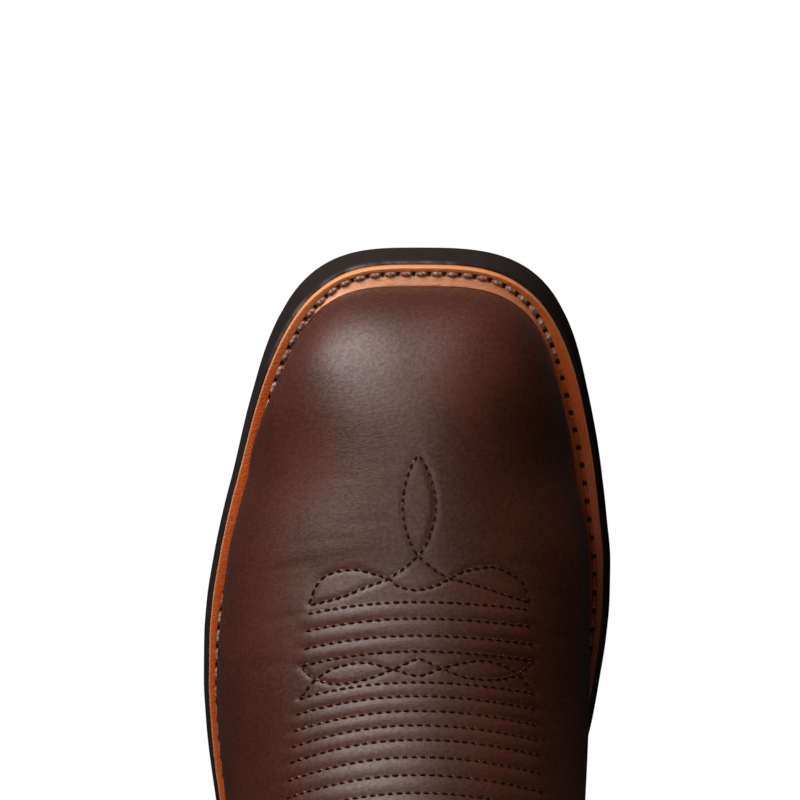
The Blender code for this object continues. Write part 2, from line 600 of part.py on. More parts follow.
def make_piping():
    """A raised cord down each side of the shaft, over the seam between its front and its back."""
    for name, side in (("side_piping_medial", 1), ("side_piping_lateral", -1)):
        scan = side * np.linspace(0.3, 0.98, 341)
        top = below_collar(np.array(side * CROWN_SHARE), STRAP["outside"] + PIPING["below strap"])
        u = np.linspace(PIPING["foot row"], top, 14)
        place = last_form(u[:, None], scan[None, :])
        miss = np.abs(place[..., 1] - along(SEAM_LINE, "y", place[..., 2]))
        centre = scan[miss.argmin(axis=1)]
        slide = 0.01
        nearby = last_form(u, centre + slide) - last_form(u, centre - slide)
        speed = np.linalg.norm(nearby, axis=1) / (2 * slide)
        across = np.array([-1, -0.75, 0, 0.75, 1])
        vv = centre[:, None] + across[None, :] * (PIPING["width"] / 2 / speed)[:, None]
        uu = np.broadcast_to(u[:, None], vv.shape)
        round_top = PIPING["edge"] + PIPING["height"] * np.sqrt(1 - across**2)
        round_top = np.broadcast_to(round_top, vv.shape)
        shell(name, [(uu, vv)], GAP, round_top.ravel(), LEATHER, 0.45)


def make_binding():
    """A strip folded over the collar's edge, down both faces of the shaft."""
    v = upper_grid()[1]
    out, over = GAP + BINDING["thickness"], np.array((0.0, 0.0, 1.0))
    outside, inside = (below_collar(v[:-1], BINDING[face]) for face in ("outside", "inside"))
    profile = (
        (outside, GAP, 0),
        (outside, out, 0),
        (COLLAR_ROW, out, out),
        (COLLAR_ROW, -WALL - out, out),
        (inside, -WALL - out, 0),
        (inside, -WALL - GAP, 0),
        (COLLAR_ROW, -WALL - GAP, GAP),
        (COLLAR_ROW, GAP, GAP),
    )
    rings = [last_offset(u, v[:-1], distance) + over * up for u, distance, up in profile]
    faces = grid(len(rings), len(v) - 1, closed=True)
    last, count = (len(rings) - 1) * (len(v) - 1), len(v) - 1
    faces += [(last + i, last + (i + 1) % count, (i + 1) % count, i) for i in range(count)]
    piece("collar_binding", np.concatenate(rings), faces, LEATHER, 0.45)


def make_straps():
    """A strap up the outside of each side, over the collar in a loop, and down the inside."""
    half = STRAP["thickness"] / 2
    clear = GAP + BINDING["thickness"] + OVERLAY_GAP + half
    close = 2 * OVERLAY_GAP + half
    up = np.array((0.0, 0.0, 1.0))
    for name, side in (("pull_strap_medial", 1), ("pull_strap_lateral", -1)):
        v = side * np.linspace(*STRAP["edges"], 5)
        legs = []
        for length, sign in ((STRAP["outside"], 1), (STRAP["inside"], -1)):
            lift = [BINDING["outside"] + STRAP_LIFT[end] for end in ("start", "end")]
            down = (length, STRAP_LIFT["flat share"] * length, *lift, 0)
            away = np.array((close, close, close, clear, clear))
            if sign < 0:
                away = away + WALL + STRAP_LOOP["slack"] * np.array((0, 0, 0, 0.5, 1))
            legs.append([last_offset(below_collar(v, d), v, sign * a) for d, a in zip(down, away)])
        rise = up * STRAP_LOOP["height"] / 2
        outer, inner = legs[0][-1] + rise, legs[1][-1] + rise
        middle, reach = (outer + inner) / 2, (outer - inner) / 2
        arch = [middle + reach * math.cos(t) + rise * math.sin(t) for t in np.linspace(0, math.pi, 9)]
        path = np.array(legs[0] + arch + legs[1][::-1])
        ahead = np.gradient(path, axis=0)
        across = np.gradient(path, axis=1)
        thick = np.cross(ahead, across)
        thick *= half / np.linalg.norm(thick, axis=-1, keepdims=True)
        rows, columns = path.shape[:2]
        total = rows * columns
        rim = [r * columns for r in range(rows)]
        rim = list(range(columns)) + [i + columns - 1 for i in rim[1:]]
        rim += list(range(total - 2, total - columns - 1, -1)) + [r * columns for r in range(rows - 2, 0, -1)]
        faces = grid(rows, columns) + grid(rows, columns, start=total)
        faces += [(a, b, total + b, total + a) for a, b in zip(rim, rim[1:] + rim[:1])]
        points = np.concatenate([(path + thick).reshape(-1, 3), (path - thick).reshape(-1, 3)])
        piece(name, points, faces, LEATHER, 0.5)


for old in list(bpy.data.objects):
    bpy.data.objects.remove(old, do_unlink=True)
make_outsole()
make_heel()
make_welt()
make_insole()
make_upper()
make_vamp()
make_counter()
make_piping()
make_binding()
make_straps()
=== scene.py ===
# %% [markdown]
# # A roper boot, dressed in leather
#
# The construction of this boot is already there as plain solids: sole, heel, welt, insole, upper and trim,
# at their real size. This lesson puts the finished surfaces over them. Every shape is worked out with
# numpy, as a function of two parameters, so the fine leather follows exactly the same last as the solids
# underneath.

# %% Load the solids in their place
import math

import bmesh
import bpy
import numpy as np
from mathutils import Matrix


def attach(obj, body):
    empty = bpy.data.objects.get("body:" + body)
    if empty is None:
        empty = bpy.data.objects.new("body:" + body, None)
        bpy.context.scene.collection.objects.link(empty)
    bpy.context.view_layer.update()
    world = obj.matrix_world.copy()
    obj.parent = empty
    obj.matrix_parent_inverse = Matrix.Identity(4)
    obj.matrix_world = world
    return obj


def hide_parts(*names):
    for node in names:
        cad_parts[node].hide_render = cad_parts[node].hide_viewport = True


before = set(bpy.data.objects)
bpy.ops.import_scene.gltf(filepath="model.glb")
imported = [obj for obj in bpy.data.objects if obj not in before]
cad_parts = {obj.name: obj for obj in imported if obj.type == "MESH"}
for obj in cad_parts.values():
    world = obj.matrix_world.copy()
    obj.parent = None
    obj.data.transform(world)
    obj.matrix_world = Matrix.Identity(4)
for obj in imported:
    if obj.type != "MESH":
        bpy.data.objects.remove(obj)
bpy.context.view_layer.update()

print("solids:", sorted(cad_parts))

# %% [markdown]
# ## The last
#
# A boot is built round a last, a block with the shape of the foot. It could be sculpted, but a maker
# describes it by sections: how high the crest is, how wide it is and where the fullest point lies, at each
# station along the foot. The tables below hold those sections in millimetres. Y runs from the back of the
# heel to the toe, Z up from the floor, and X to the side: medial is +X. A smooth curve through each column
# gives every section in between.

# %% Tables of the sole and the last
SOLE_PLAN = {
    "station": (0, 20, 45, 70, 95, 120, 151, 174, 185, 197, 208, 219, 231, 248, 262, 304.87),
    "medial": (34, 34.5, 34.5, 33.5, 33, 36, 43.5, 50.1, 52.1, 54.0, 55.0, 55.2, 54.2, 52.2, 49.6, 38.8),
    "lateral": (34, 34.5, 35.5, 37.5, 42.5, 49.5, 57.1, 60.2, 60.8, 60.7, 59.9, 58.2, 55.8, 51.5, 48.0,
                34.15),
}
SOLE_ENDS = {"toe length": 43.0, "toe round": (4.14, 3.13), "heel length": 34.0, "heel round": (2.1, 2.1)}
FEATHER_PLAN = {
    "station": (4.6, 20, 45, 63, 95, 120, 155, 185, 219, 244, 264, 282, 295.8),
    "medial": (30, 30.5, 30.5, 29.8, 29.2, 31.5, 38.2, 43.7, 45.1, 42.6, 39.0, 37.2, 36.6),
    "lateral": (30, 30.5, 31.0, 33.0, 37.8, 43.6, 49.9, 52.9, 50.4, 45.7, 39.4, 35.3, 33.2),
}
FEATHER_ENDS = {"toe length": 51.8, "toe round": (4.0, 3.5), "heel length": 30.0, "heel round": (2.1, 2.1)}
SOLE_BED = {
    "station": (0, 30, 63, 86, 110, 135, 158, 176, 244, 268, 288, 306),
    "height": (36.5, 35.2, 32.8, 27.6, 20.2, 13.8, 10.7, 10.0, 10.0, 12.0, 16.2, 21.9),
}
SOLE_THICKNESS = {"station": (0, 66, 120, 165, 305), "height": (6.5, 6.5, 7.4, 10.0, 10.0)}
FEATHER_RISE = {"station": (0, 52, 67, 100, 305), "height": (0.3, 0.3, 1.7, 3.6, 3.6)}
SOLE_FLARE = {
    "station": (0, 150, 174, 219, 250, 264, 272, 280, 290, 298, 305),
    "medial": (0.2, 0.4, 1.1, 1.45, 1.4, 1.3, 1.35, 1.6, 1.9, 1.8, 1.1),
    "lateral": (0.2, 0.4, 0.8, 1.0, 1.0, 1.1, 1.25, 1.6, 1.9, 1.8, 1.1),
}
FOOT_SECTIONS = {
    "crest_y": (244, 219, 185, 155, 141, 132.5, 127.5, 124.5, 122.8),
    "crest_z": (61.5, 67.5, 81.5, 100, 113.5, 127, 141, 154, 166),
    "end_y": (244, 219, 185, 155, 121, 86, 50, 20, 4.6),
    "medial": (42.6, 46.3, 45.8, 43.9, 41.6, 41.2, 41.0, 41.2, 41.6),
    "lateral": (45.7, 51.3, 54.1, 51.3, 47.4, 44.2, 42.2, 41.8, 42.0),
    "medial_low": (1.0, 0.76, 0.66, 0.55, 0.49, 0.46, 0.45, 0.45, 0.46),
    "lateral_low": (1.0, 0.78, 0.76, 0.73, 0.62, 0.52, 0.47, 0.45, 0.46),
    "crown": (2.0, 2.05, 2.0, 1.95, 1.98, 2.02, 2.06, 2.1, 2.1),
    "tuck": (2.0, 2.0, 2.0, 2.0, 2.1, 2.2, 2.3, 2.3, 2.3),
}
SHAFT_SECTIONS = {
    "crest_y": (121.8, 121.2, 121.2, 122, 124, 127),
    "crest_z": (178, 192, 208, 228, 251, 275),
    "end_y": (1.4, 3.2, 7.6, 9.0, 7.2, 3.4),
    "end_z": (62, 90, 125, 165, 217, 275),
    "medial": (42.0, 42.4, 43.0, 44.0, 45.8, 48.0),
    "lateral": (42.4, 42.8, 43.4, 44.4, 46.2, 48.4),
    "medial_low": (0.47, 0.48, 0.49, 0.5, 0.5, 0.5),
    "lateral_low": (0.47, 0.48, 0.49, 0.5, 0.5, 0.5),
    "crown": (2.1, 2.1, 2.1, 2.1, 2.1, 2.1),
    "tuck": (2.25, 2.2, 2.15, 2.1, 2.1, 2.1),
}
TOE_ROW, CLOSED_ROW, COLLAR_ROW = 1, 9, 15
TOE_DROP, TOE_PROFILE_ROUND, CROWN_SHARE, COLLAR_DIP = 0.26, 3.0, 0.66, 7.0


# %% Curves through the tables
def smooth(x, y, at):
    """A smooth curve through (x, y) that never overshoots its points: cubic pieces whose slope at each
    point is the harmonic mean of the slopes beside it, and zero at a turning point."""
    x, y = np.asarray(x, float), np.asarray(y, float)
    at = np.clip(np.asarray(at, float), x[0], x[-1])
    step = np.diff(x)
    slope = np.diff(y) / step
    before, after = slope[:-1], slope[1:]
    turning = before * after <= 0
    heavy, light = 2 * step[1:] + step[:-1], step[1:] + 2 * step[:-1]
    mean = (heavy + light) / (heavy / np.where(turning, 1, before) + light / np.where(turning, 1, after))
    tangent = np.concatenate([slope[:1], np.where(turning, 0, mean), slope[-1:]])
    i = np.clip(np.searchsorted(x, at) - 1, 0, len(step) - 1)
    t = (at - x[i]) / step[i]
    start = y[i] * (1 + 2 * t) * (1 - t) ** 2 + step[i] * tangent[i] * t * (1 - t) ** 2
    end = y[i + 1] * t * t * (3 - 2 * t) - step[i] * tangent[i + 1] * t * t * (1 - t)
    return start + end


def along(table, column, at):
    """A table's column as a smooth curve over its first column."""
    return smooth(table[next(iter(table))], table[column], at)


def bent(x, y, over):
    """Points at a height over the sole's top face, measured square to it where it curves."""
    reach = 0.5
    rise = along(SOLE_BED, "height", y + reach) - along(SOLE_BED, "height", y - reach)
    tilt = np.arctan(rise / (2 * reach))
    height = along(SOLE_BED, "height", y) + over * np.cos(tilt)
    return np.stack(np.broadcast_arrays(x, y - over * np.sin(tilt), height), axis=-1)


TOE_SPRING = {"from": 244.0, "to": 306.0, "tilt": 0.35, "ease": 1.35}


def sprung(x, y, over):
    """Like bent, for the toe box: the tilt grows evenly from the ball to the tip, because at the toe's
    height every unevenness of it would show in the leather."""
    share = np.clip((y - TOE_SPRING["from"]) / (TOE_SPRING["to"] - TOE_SPRING["from"]), 0, 1)
    tilt = TOE_SPRING["tilt"] * share ** TOE_SPRING["ease"]
    height = along(SOLE_BED, "height", y) + over * np.cos(tilt)
    return np.stack(np.broadcast_arrays(x, y - over * np.sin(tilt), height), axis=-1)


def half_width(plan, ends, side, y):
    """Half width of a plan at a station, with the toe and the heel rounded as superellipses."""
    first, last = plan["station"][0], plan["station"][-1]
    toe = np.clip(1 - (last - y) / ends["toe length"], 0, 1)
    heel = np.clip(1 - (y - first) / ends["heel length"], 0, 1)
    toe_part = (1 - toe ** ends["toe round"][0]) ** (1 / ends["toe round"][1])
    heel_part = (1 - heel ** ends["heel round"][0]) ** (1 / ends["heel round"][1])
    return along(plan, side, y) * toe_part * heel_part


MIDDLE = np.array((-2.95, 154.0, 0.0))
everywhere = np.linspace(0, SOLE_PLAN["station"][-1], 2000)
widest = [half_width(SOLE_PLAN, SOLE_ENDS, side, everywhere).max() for side in ("medial", "lateral")]
print("sole", round(sum(widest), 1), "mm wide at its ball")


# %% The last as a surface of two parameters
def last_form(u, v):
    """The upper's outer form. u runs from the toe's edge (0) over the toe box (1) and the rows of the two
    section tables to the collar (15). v runs from the lateral end (-1) over the crest (0) to the medial end
    (1): the crown is a superellipse out to the fullest width, the tuck another one from there down to the
    sole."""
    u, v = np.broadcast_arrays(np.asarray(u, float), np.asarray(v, float))
    row = np.arange(TOE_ROW, COLLAR_ROW + 1)
    at = np.maximum(u, TOE_ROW)
    column = {name: smooth(row, FOOT_SECTIONS[name] + SHAFT_SECTIONS[name], at) for name in FOOT_SECTIONS}
    medial = v >= 0
    full = np.where(medial, column["medial"], column["lateral"])
    low = np.where(medial, column["medial_low"], column["lateral_low"])
    end_y = column["end_y"]
    seat = bent(0.0, end_y, along(FEATHER_RISE, "height", end_y))
    heel_z = bent(0.0, np.array(FOOT_SECTIONS["end_y"][-1]), FEATHER_RISE["height"][0])[2]
    back_z = smooth(row[CLOSED_ROW - 1:], (heel_z,) + SHAFT_SECTIONS["end_z"], at)
    closed = at >= CLOSED_ROW
    end_z = np.where(closed, back_z, seat[..., 2])
    edge_medial = half_width(FEATHER_PLAN, FEATHER_ENDS, "medial", end_y)
    edge_lateral = half_width(FEATHER_PLAN, FEATHER_ENDS, "lateral", end_y)
    edge = np.where(closed, 0.0, np.where(medial, edge_medial, edge_lateral))

    fan = np.clip(1 - u / TOE_ROW, 0, 1)
    turn = (1 - fan) * math.pi / 2
    front, up = np.cos(turn) ** (2 / TOE_PROFILE_ROUND), np.sin(turn) ** (2 / TOE_PROFILE_ROUND)
    reach, toe_rise = FEATHER_ENDS["toe length"], FEATHER_RISE["height"][-1]
    toe_bed = along(SOLE_BED, "height", FOOT_SECTIONS["end_y"][0])
    toe_height = FOOT_SECTIONS["crest_z"][0] - toe_bed - toe_rise
    crest_y = column["crest_y"] + reach * np.where(fan > 0, front, 0)
    crest_z = np.where(fan > 0, toe_rise + toe_height * up * (1 - TOE_DROP * front), column["crest_z"])
    end_z = np.where(fan > 0, toe_rise, end_z)
    at_tip = np.cos(turn) ** 2
    side_round = column["crown"] + (FEATHER_ENDS["toe round"][1] - column["crown"]) * at_tip
    front_round = column["crown"] + (FEATHER_ENDS["toe round"][0] - column["crown"]) * at_tip

    over = np.clip(np.abs(v) / CROWN_SHARE, 0, 1) * math.pi / 2
    ahead = np.cos(over) ** (2 / front_round)
    taper = np.where(
        medial,
        along(FEATHER_PLAN, "medial", end_y + reach * ahead) / along(FEATHER_PLAN, "medial", end_y),
        along(FEATHER_PLAN, "lateral", end_y + reach * ahead) / along(FEATHER_PLAN, "lateral", end_y),
    )
    x_crown = full * np.sin(over) ** (2 / side_round) * (1 + (taper - 1) * at_tip)
    share = np.clip((np.abs(v) - CROWN_SHARE) / (1 - CROWN_SHARE), 0, 1)
    tuck = column["tuck"]
    last_turn = np.arccos(np.clip(edge / full, 0, 1) ** (tuck / 2))
    under = share * last_turn
    x_tuck = full * np.cos(under) ** (2 / tuck)
    reached = np.sin(under) ** (2 / tuck) / np.maximum(np.sin(last_turn), 1e-6) ** (2 / tuck)
    below = np.abs(v) > CROWN_SHARE
    x = np.where(below, x_tuck, x_crown)
    down = np.where(below, low + (1 - low) * reached, low * (1 - ahead))
    y = crest_y + (end_y - crest_y) * down
    z = crest_z + (end_z - crest_z) * down
    dip = np.clip((u - CLOSED_ROW - 1) / (COLLAR_ROW - CLOSED_ROW - 1), 0, 1) ** 2
    z = z - COLLAR_DIP * dip * np.cos(math.pi * down) ** 2
    x = np.where(medial, x, -x)
    return np.where((fan > 0)[..., None], sprung(x, y, z), np.stack([x, y, z], axis=-1))


def feather_level(y):
    """Height of the upper's lower edge at a station."""
    return bent(0.0, y, along(FEATHER_RISE, "height", y))[..., 2]


# %% [markdown]
# ## From the last to leather
#
# Leather lies on the last at a small distance, so each surface is the last's form moved out along its
# normals. A normal could come from a formula, but where the toe's sections run together in one point it has
# none. The mean of the faces round a point always exists, so that is used. The other tool here is the
# reverse question: which (u, v) lies at a given place in a plan or a side view? A few Newton steps answer
# it for whole arrays at once.


# %% Grids on the last, and places found on it
def eased(value):
    """0 below 0, 1 above 1, and a smooth step between."""
    t = np.clip(value, 0, 1)
    return t * t * (3 - 2 * t)


TOE_JOIN = {"reach": 11.0, "fade": 0.1, "passes": 30}


def rounded_off(points, v):
    """The toe box meets the foot's sections at a slight angle on its flanks. There each point of a grid is
    moved, many times over, a little way to the middle of its two neighbours along u. This fades out within
    some millimetres, and above the places where the toe's rows meet in one point."""
    crest = points[:, points.shape[1] // 2, 1]
    near = np.exp(-(((crest - FOOT_SECTIONS["crest_y"][0]) / TOE_JOIN["reach"]) ** 2))[1:-1, None]
    near = near * eased((CROWN_SHARE - np.abs(v[1:-1])) / TOE_JOIN["fade"])
    for _ in range(TOE_JOIN["passes"]):
        points[1:-1] += 0.5 * near[..., None] * ((points[2:] + points[:-2]) / 2 - points[1:-1])
    return points


def sheet_on_last(u, v, rounded=False):
    """Points of a (u, v) grid on the last, and the way out of the leather at each: the mean of the faces
    round it, summed over all grid points that share a place."""
    points = last_form(u, v)
    if rounded:
        points = rounded_off(points, v)
    a, b, c, d = points[:-1, :-1], points[:-1, 1:], points[1:, 1:], points[1:, :-1]
    face = np.cross(d - b, c - a)
    total = np.zeros_like(points)
    for rows in (slice(None, -1), slice(1, None)):
        for columns in (slice(None, -1), slice(1, None)):
            total[rows, columns] += face
    places = np.round(points.reshape(-1, 3), 3) + 0.0
    same = np.unique(places, axis=0, return_inverse=True)[1].ravel()
    summed = np.zeros((same.max() + 1, 3))
    np.add.at(summed, same, total.reshape(-1, 3))
    normal = summed[same].reshape(points.shape)
    return points, normal / np.linalg.norm(normal, axis=-1, keepdims=True)


def lifted(points, normal, lift):
    """A sheet moved out along its normals, but never below the upper's lower edge."""
    moved = points + normal * np.broadcast_to(lift, points.shape[:2])[..., None]
    moved[..., 2] = np.maximum(moved[..., 2], feather_level(moved[..., 1]))
    return moved


def way_out(u, v):
    """The last's normal by differences, for places where its sections don't run together."""
    step = 0.004
    v = np.clip(v, step - 1, 1 - step)
    over_u = last_form(u + step, v) - last_form(u - step, v)
    over_v = last_form(u, v + step) - last_form(u, v - step)
    normal = np.cross(over_u, over_v)
    return normal / np.linalg.norm(normal, axis=-1, keepdims=True)


def laid(u, v, lift=0.0):
    """Places on the last lifted along its normals, and those normals."""
    out = way_out(u, v)
    return last_form(u, v) + out * np.asarray(lift, float)[..., None], out


SEARCH = {"u samples": 70, "v samples": 50, "batch": 1500, "passes": 40, "slope step": 1e-4}
LONGEST_STEP = {"u": 0.4, "v": 0.1}


def on_last(see, wanted, u_range, v_range):
    """The (u, v) whose point measures as wanted through see, which turns points into two numbers. It starts
    from the nearest of a coarse grid of samples, then takes Newton steps: the error divided by the slopes
    over u and v. A step that would miss by more is halved."""
    wanted = np.asarray(wanted, float)
    targets = wanted.reshape(-1, 2)
    u, v = np.linspace(*u_range, SEARCH["u samples"]), np.linspace(*v_range, SEARCH["v samples"])
    u, v = (grid.ravel() for grid in np.meshgrid(u, v, indexing="ij"))
    seen = see(last_form(u, v))
    scale = np.maximum(seen.std(axis=0), 1e-9)
    parts = np.array_split(targets, 1 + len(targets) // SEARCH["batch"])
    near = np.concatenate([(((p[:, None] - seen) / scale) ** 2).sum(-1).argmin(1) for p in parts])
    u, v, step, gain = u[near], v[near], SEARCH["slope step"], np.ones(len(near))
    for _ in range(SEARCH["passes"]):
        aside_u = np.where(u + step > u_range[1], -step, step)
        aside_v = np.where(v + step > v_range[1], -step, step)
        here = see(last_form(u, v))
        slope_u = (see(last_form(u + aside_u, v)) - here) / aside_u[:, None]
        slope_v = (see(last_form(u, v + aside_v)) - here) / aside_v[:, None]
        error = targets - here
        area = slope_u[:, 0] * slope_v[:, 1] - slope_u[:, 1] * slope_v[:, 0]
        area = np.where(np.abs(area) < 1e-9, 1e-9, area)
        move_u = (error[:, 0] * slope_v[:, 1] - error[:, 1] * slope_v[:, 0]) / area
        move_v = (slope_u[:, 0] * error[:, 1] - slope_u[:, 1] * error[:, 0]) / area
        next_u = np.clip(u + gain * np.clip(move_u, -LONGEST_STEP["u"], LONGEST_STEP["u"]), *u_range)
        next_v = np.clip(v + gain * np.clip(move_v, -LONGEST_STEP["v"], LONGEST_STEP["v"]), *v_range)
        missed = np.linalg.norm(targets - see(last_form(next_u, next_v)), axis=1)
        better = missed < np.linalg.norm(error, axis=1)
        u, v = np.where(better, next_u, u), np.where(better, next_v, v)
        gain = np.where(better, np.minimum(2 * gain, 1), gain / 2)
    return u.reshape(wanted.shape[:-1]), v.reshape(wanted.shape[:-1])


# %% [markdown]
# ## Turning arrays into pieces
#
# Most pieces of a boot are walls: a face that shows, a face behind it and an edge all round. A wall between
# two grids of the same shape is closed by joining their borders. A strip is a closed profile carried along
# a path. Both give plain arrays of points and faces, and one function puts them into a mesh, joins points
# that share a place, and ties the piece to the body that it belongs to.

# %% Walls, strips and finished pieces
SHARP = math.radians(48)
JOIN = 5e-6


def grid_quads(rows, columns, closed=False):
    """Quads of a grid numbered row by row, as (here, next row, next row and column, next column)."""
    index = np.arange(rows * columns).reshape(rows, columns)
    if closed:
        index = np.concatenate([index, index[:, :1]], axis=1)
    corners = (index[:-1, :-1], index[1:, :-1], index[1:, 1:], index[:-1, 1:])
    return np.stack(corners, axis=-1).reshape(-1, 4)


def wall(outer, inner):
    """Points and faces of a closed wall: the outer grid, the inner one turned round, and a rim between the
    borders. Where two stretches of the border lie together the wall runs on, and needs no rim."""
    rows, columns = outer.shape[:2]
    index = np.arange(rows * columns).reshape(rows, columns)
    border = np.concatenate([index[0], index[1:, -1], index[-1, -2::-1], index[-2:0:-1, 0]])
    after = np.roll(border, -1)
    total = rows * columns
    front = grid_quads(rows, columns)
    middle = np.round((outer.reshape(-1, 3)[border] + outer.reshape(-1, 3)[after]) / 2, 3) + 0.0
    together = np.unique(middle, axis=0, return_inverse=True, return_counts=True)
    free = together[2][together[1].ravel()] == 1
    rim = np.stack([border, after, after + total, border + total], axis=1)[free]
    faces = np.concatenate([front, front[:, ::-1] + total, rim])
    return np.concatenate([outer.reshape(-1, 3), inner.reshape(-1, 3)]), faces.tolist()


def strip(sections, ends=True):
    """Points and faces of a closed profile carried along a path, one section a row, its two ends filled."""
    rows, columns = sections.shape[:2]
    faces = grid_quads(rows, columns, closed=True).tolist()
    if ends:
        faces += [list(range(columns)), list(range(rows * columns - 1, (rows - 1) * columns - 1, -1))]
    return sections.reshape(-1, 3), faces


def piece(name, shape, materials, node=None, values=None, uv=None, inside_from=None, join=True):
    """One finished piece from points in shoe millimetres, its faces turned outward. values are numbers by
    point, uv a pair by point, and faces from inside_from on take the second material."""
    points, faces = shape
    mesh = bpy.data.meshes.new(name)
    mesh.from_pydata((np.asarray(points) - MIDDLE) * 0.001, [], faces)
    for label, numbers in (values or {}).items():
        attribute = mesh.attributes.new(label, "FLOAT", "POINT")
        attribute.data.foreach_set("value", np.asarray(numbers, np.float32).ravel())
    if uv is not None:
        corner = np.empty(len(mesh.loops), np.int32)
        mesh.loops.foreach_get("vertex_index", corner)
        by_corner = np.asarray(uv, np.float32).reshape(-1, 2)[corner]
        mesh.uv_layers.new(name="along").data.foreach_set("uv", by_corner.ravel())
    for material in materials:
        mesh.materials.append(material)
    if inside_from is not None:
        mesh.polygons.foreach_set("material_index", (np.arange(len(faces)) >= inside_from).astype(np.int32))
    made = bpy.data.objects.new(name, mesh)
    bpy.context.scene.collection.objects.link(made)
    skin = bmesh.new()
    skin.from_mesh(mesh)
    if join:
        bmesh.ops.remove_doubles(skin, verts=skin.verts, dist=JOIN)
        bmesh.ops.dissolve_degenerate(skin, edges=skin.edges, dist=JOIN / 10)
    volume = skin.calc_volume(signed=True)
    if volume < 0:
        bmesh.ops.reverse_faces(skin, faces=skin.faces)
    open_edges = sum(not edge.is_manifold for edge in skin.edges)
    skin.to_mesh(mesh)
    skin.free()
    mesh.shade_smooth()
    mesh.set_sharp_from_angle(angle=SHARP)
    mesh.calc_loop_triangles()
    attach(made, "root")
    if node:
        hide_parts(node)
    count = len(mesh.loop_triangles)
    print(f"{name}: {count} triangles, {abs(volume) * 1e6:.2f} cm3, {open_edges} open edges")
    return made


# %% [markdown]
# ## Finishes
#
# Leather, thread and rubber are all shaders made from noise, so nothing is painted by hand and nothing
# stretches. Two effects come back in several finishes: the pebbled grain with its fine wrinkles, and the
# slow drift of tone that dye leaves in a hide. Each is a node group, built once, that puts out heights and
# masks. The shader itself stays in each material, where its gloss can be set.


# %% Small helpers for node trees
def fill(tree, node, inputs):
    """Fills a node's inputs, each by a value or by another node's socket."""
    for key, value in inputs.items():
        if isinstance(value, bpy.types.NodeSocket):
            tree.links.new(value, node.inputs[key])
        else:
            node.inputs[key].default_value = value


def add(tree, kind, inputs=None, **options):
    """A node with its options set and its inputs filled."""
    made = tree.nodes.new(kind)
    for option, value in options.items():
        setattr(made, option, value)
    fill(tree, made, inputs or {})
    return made


def math_node(tree, operation, *values):
    """One arithmetic step on sockets or numbers."""
    return add(tree, "ShaderNodeMath", dict(enumerate(values)), operation=operation).outputs[0]


def ramp(tree, value, low, high, start=0.0, end=1.0):
    """A value's range from low to high, eased into start to end."""
    inputs = {"Value": value, "From Min": low, "From Max": high, "To Min": start, "To Max": end}
    return add(tree, "ShaderNodeMapRange", inputs, interpolation_type="SMOOTHSTEP").outputs[0]


def blend(tree, share, first, second):
    """Two colours mixed by a share. Its colour sockets are inputs 6 and 7 and output 2."""
    return add(tree, "ShaderNodeMix", {0: share, 6: first, 7: second}, data_type="RGBA").outputs[2]


def noise(tree, vector, scale, detail):
    """A noise value over a vector."""
    return add(tree, "ShaderNodeTexNoise", {"Vector": vector, "Scale": scale, "Detail": detail}).outputs[0]


def bumped(tree, height, strength, distance):
    """The normal of a surface raised by a height."""
    inputs = {"Height": height, "Strength": strength, "Distance": distance}
    return add(tree, "ShaderNodeBump", inputs).outputs[0]


def node_group(name, inputs, outputs):
    """An empty shader group with named inputs (kind and value) and named outputs."""
    tree = bpy.data.node_groups.new(name, "ShaderNodeTree")
    for label, (kind, value) in inputs.items():
        socket = tree.interface.new_socket(name=label, in_out="INPUT", socket_type=kind)
        if value is not None:
            socket.default_value = value
    for label in outputs:
        tree.interface.new_socket(name=label, in_out="OUTPUT", socket_type="NodeSocketFloat")
    return tree, tree.nodes.new("NodeGroupInput"), tree.nodes.new("NodeGroupOutput")


def finish(name):
    """A new material: its tree, its shader and its object coordinates."""
    made = bpy.data.materials.new(name)
    made.use_nodes = True
    tree = made.node_tree
    return made, tree, tree.nodes["Principled BSDF"], tree.nodes.new("ShaderNodeTexCoord").outputs["Object"]


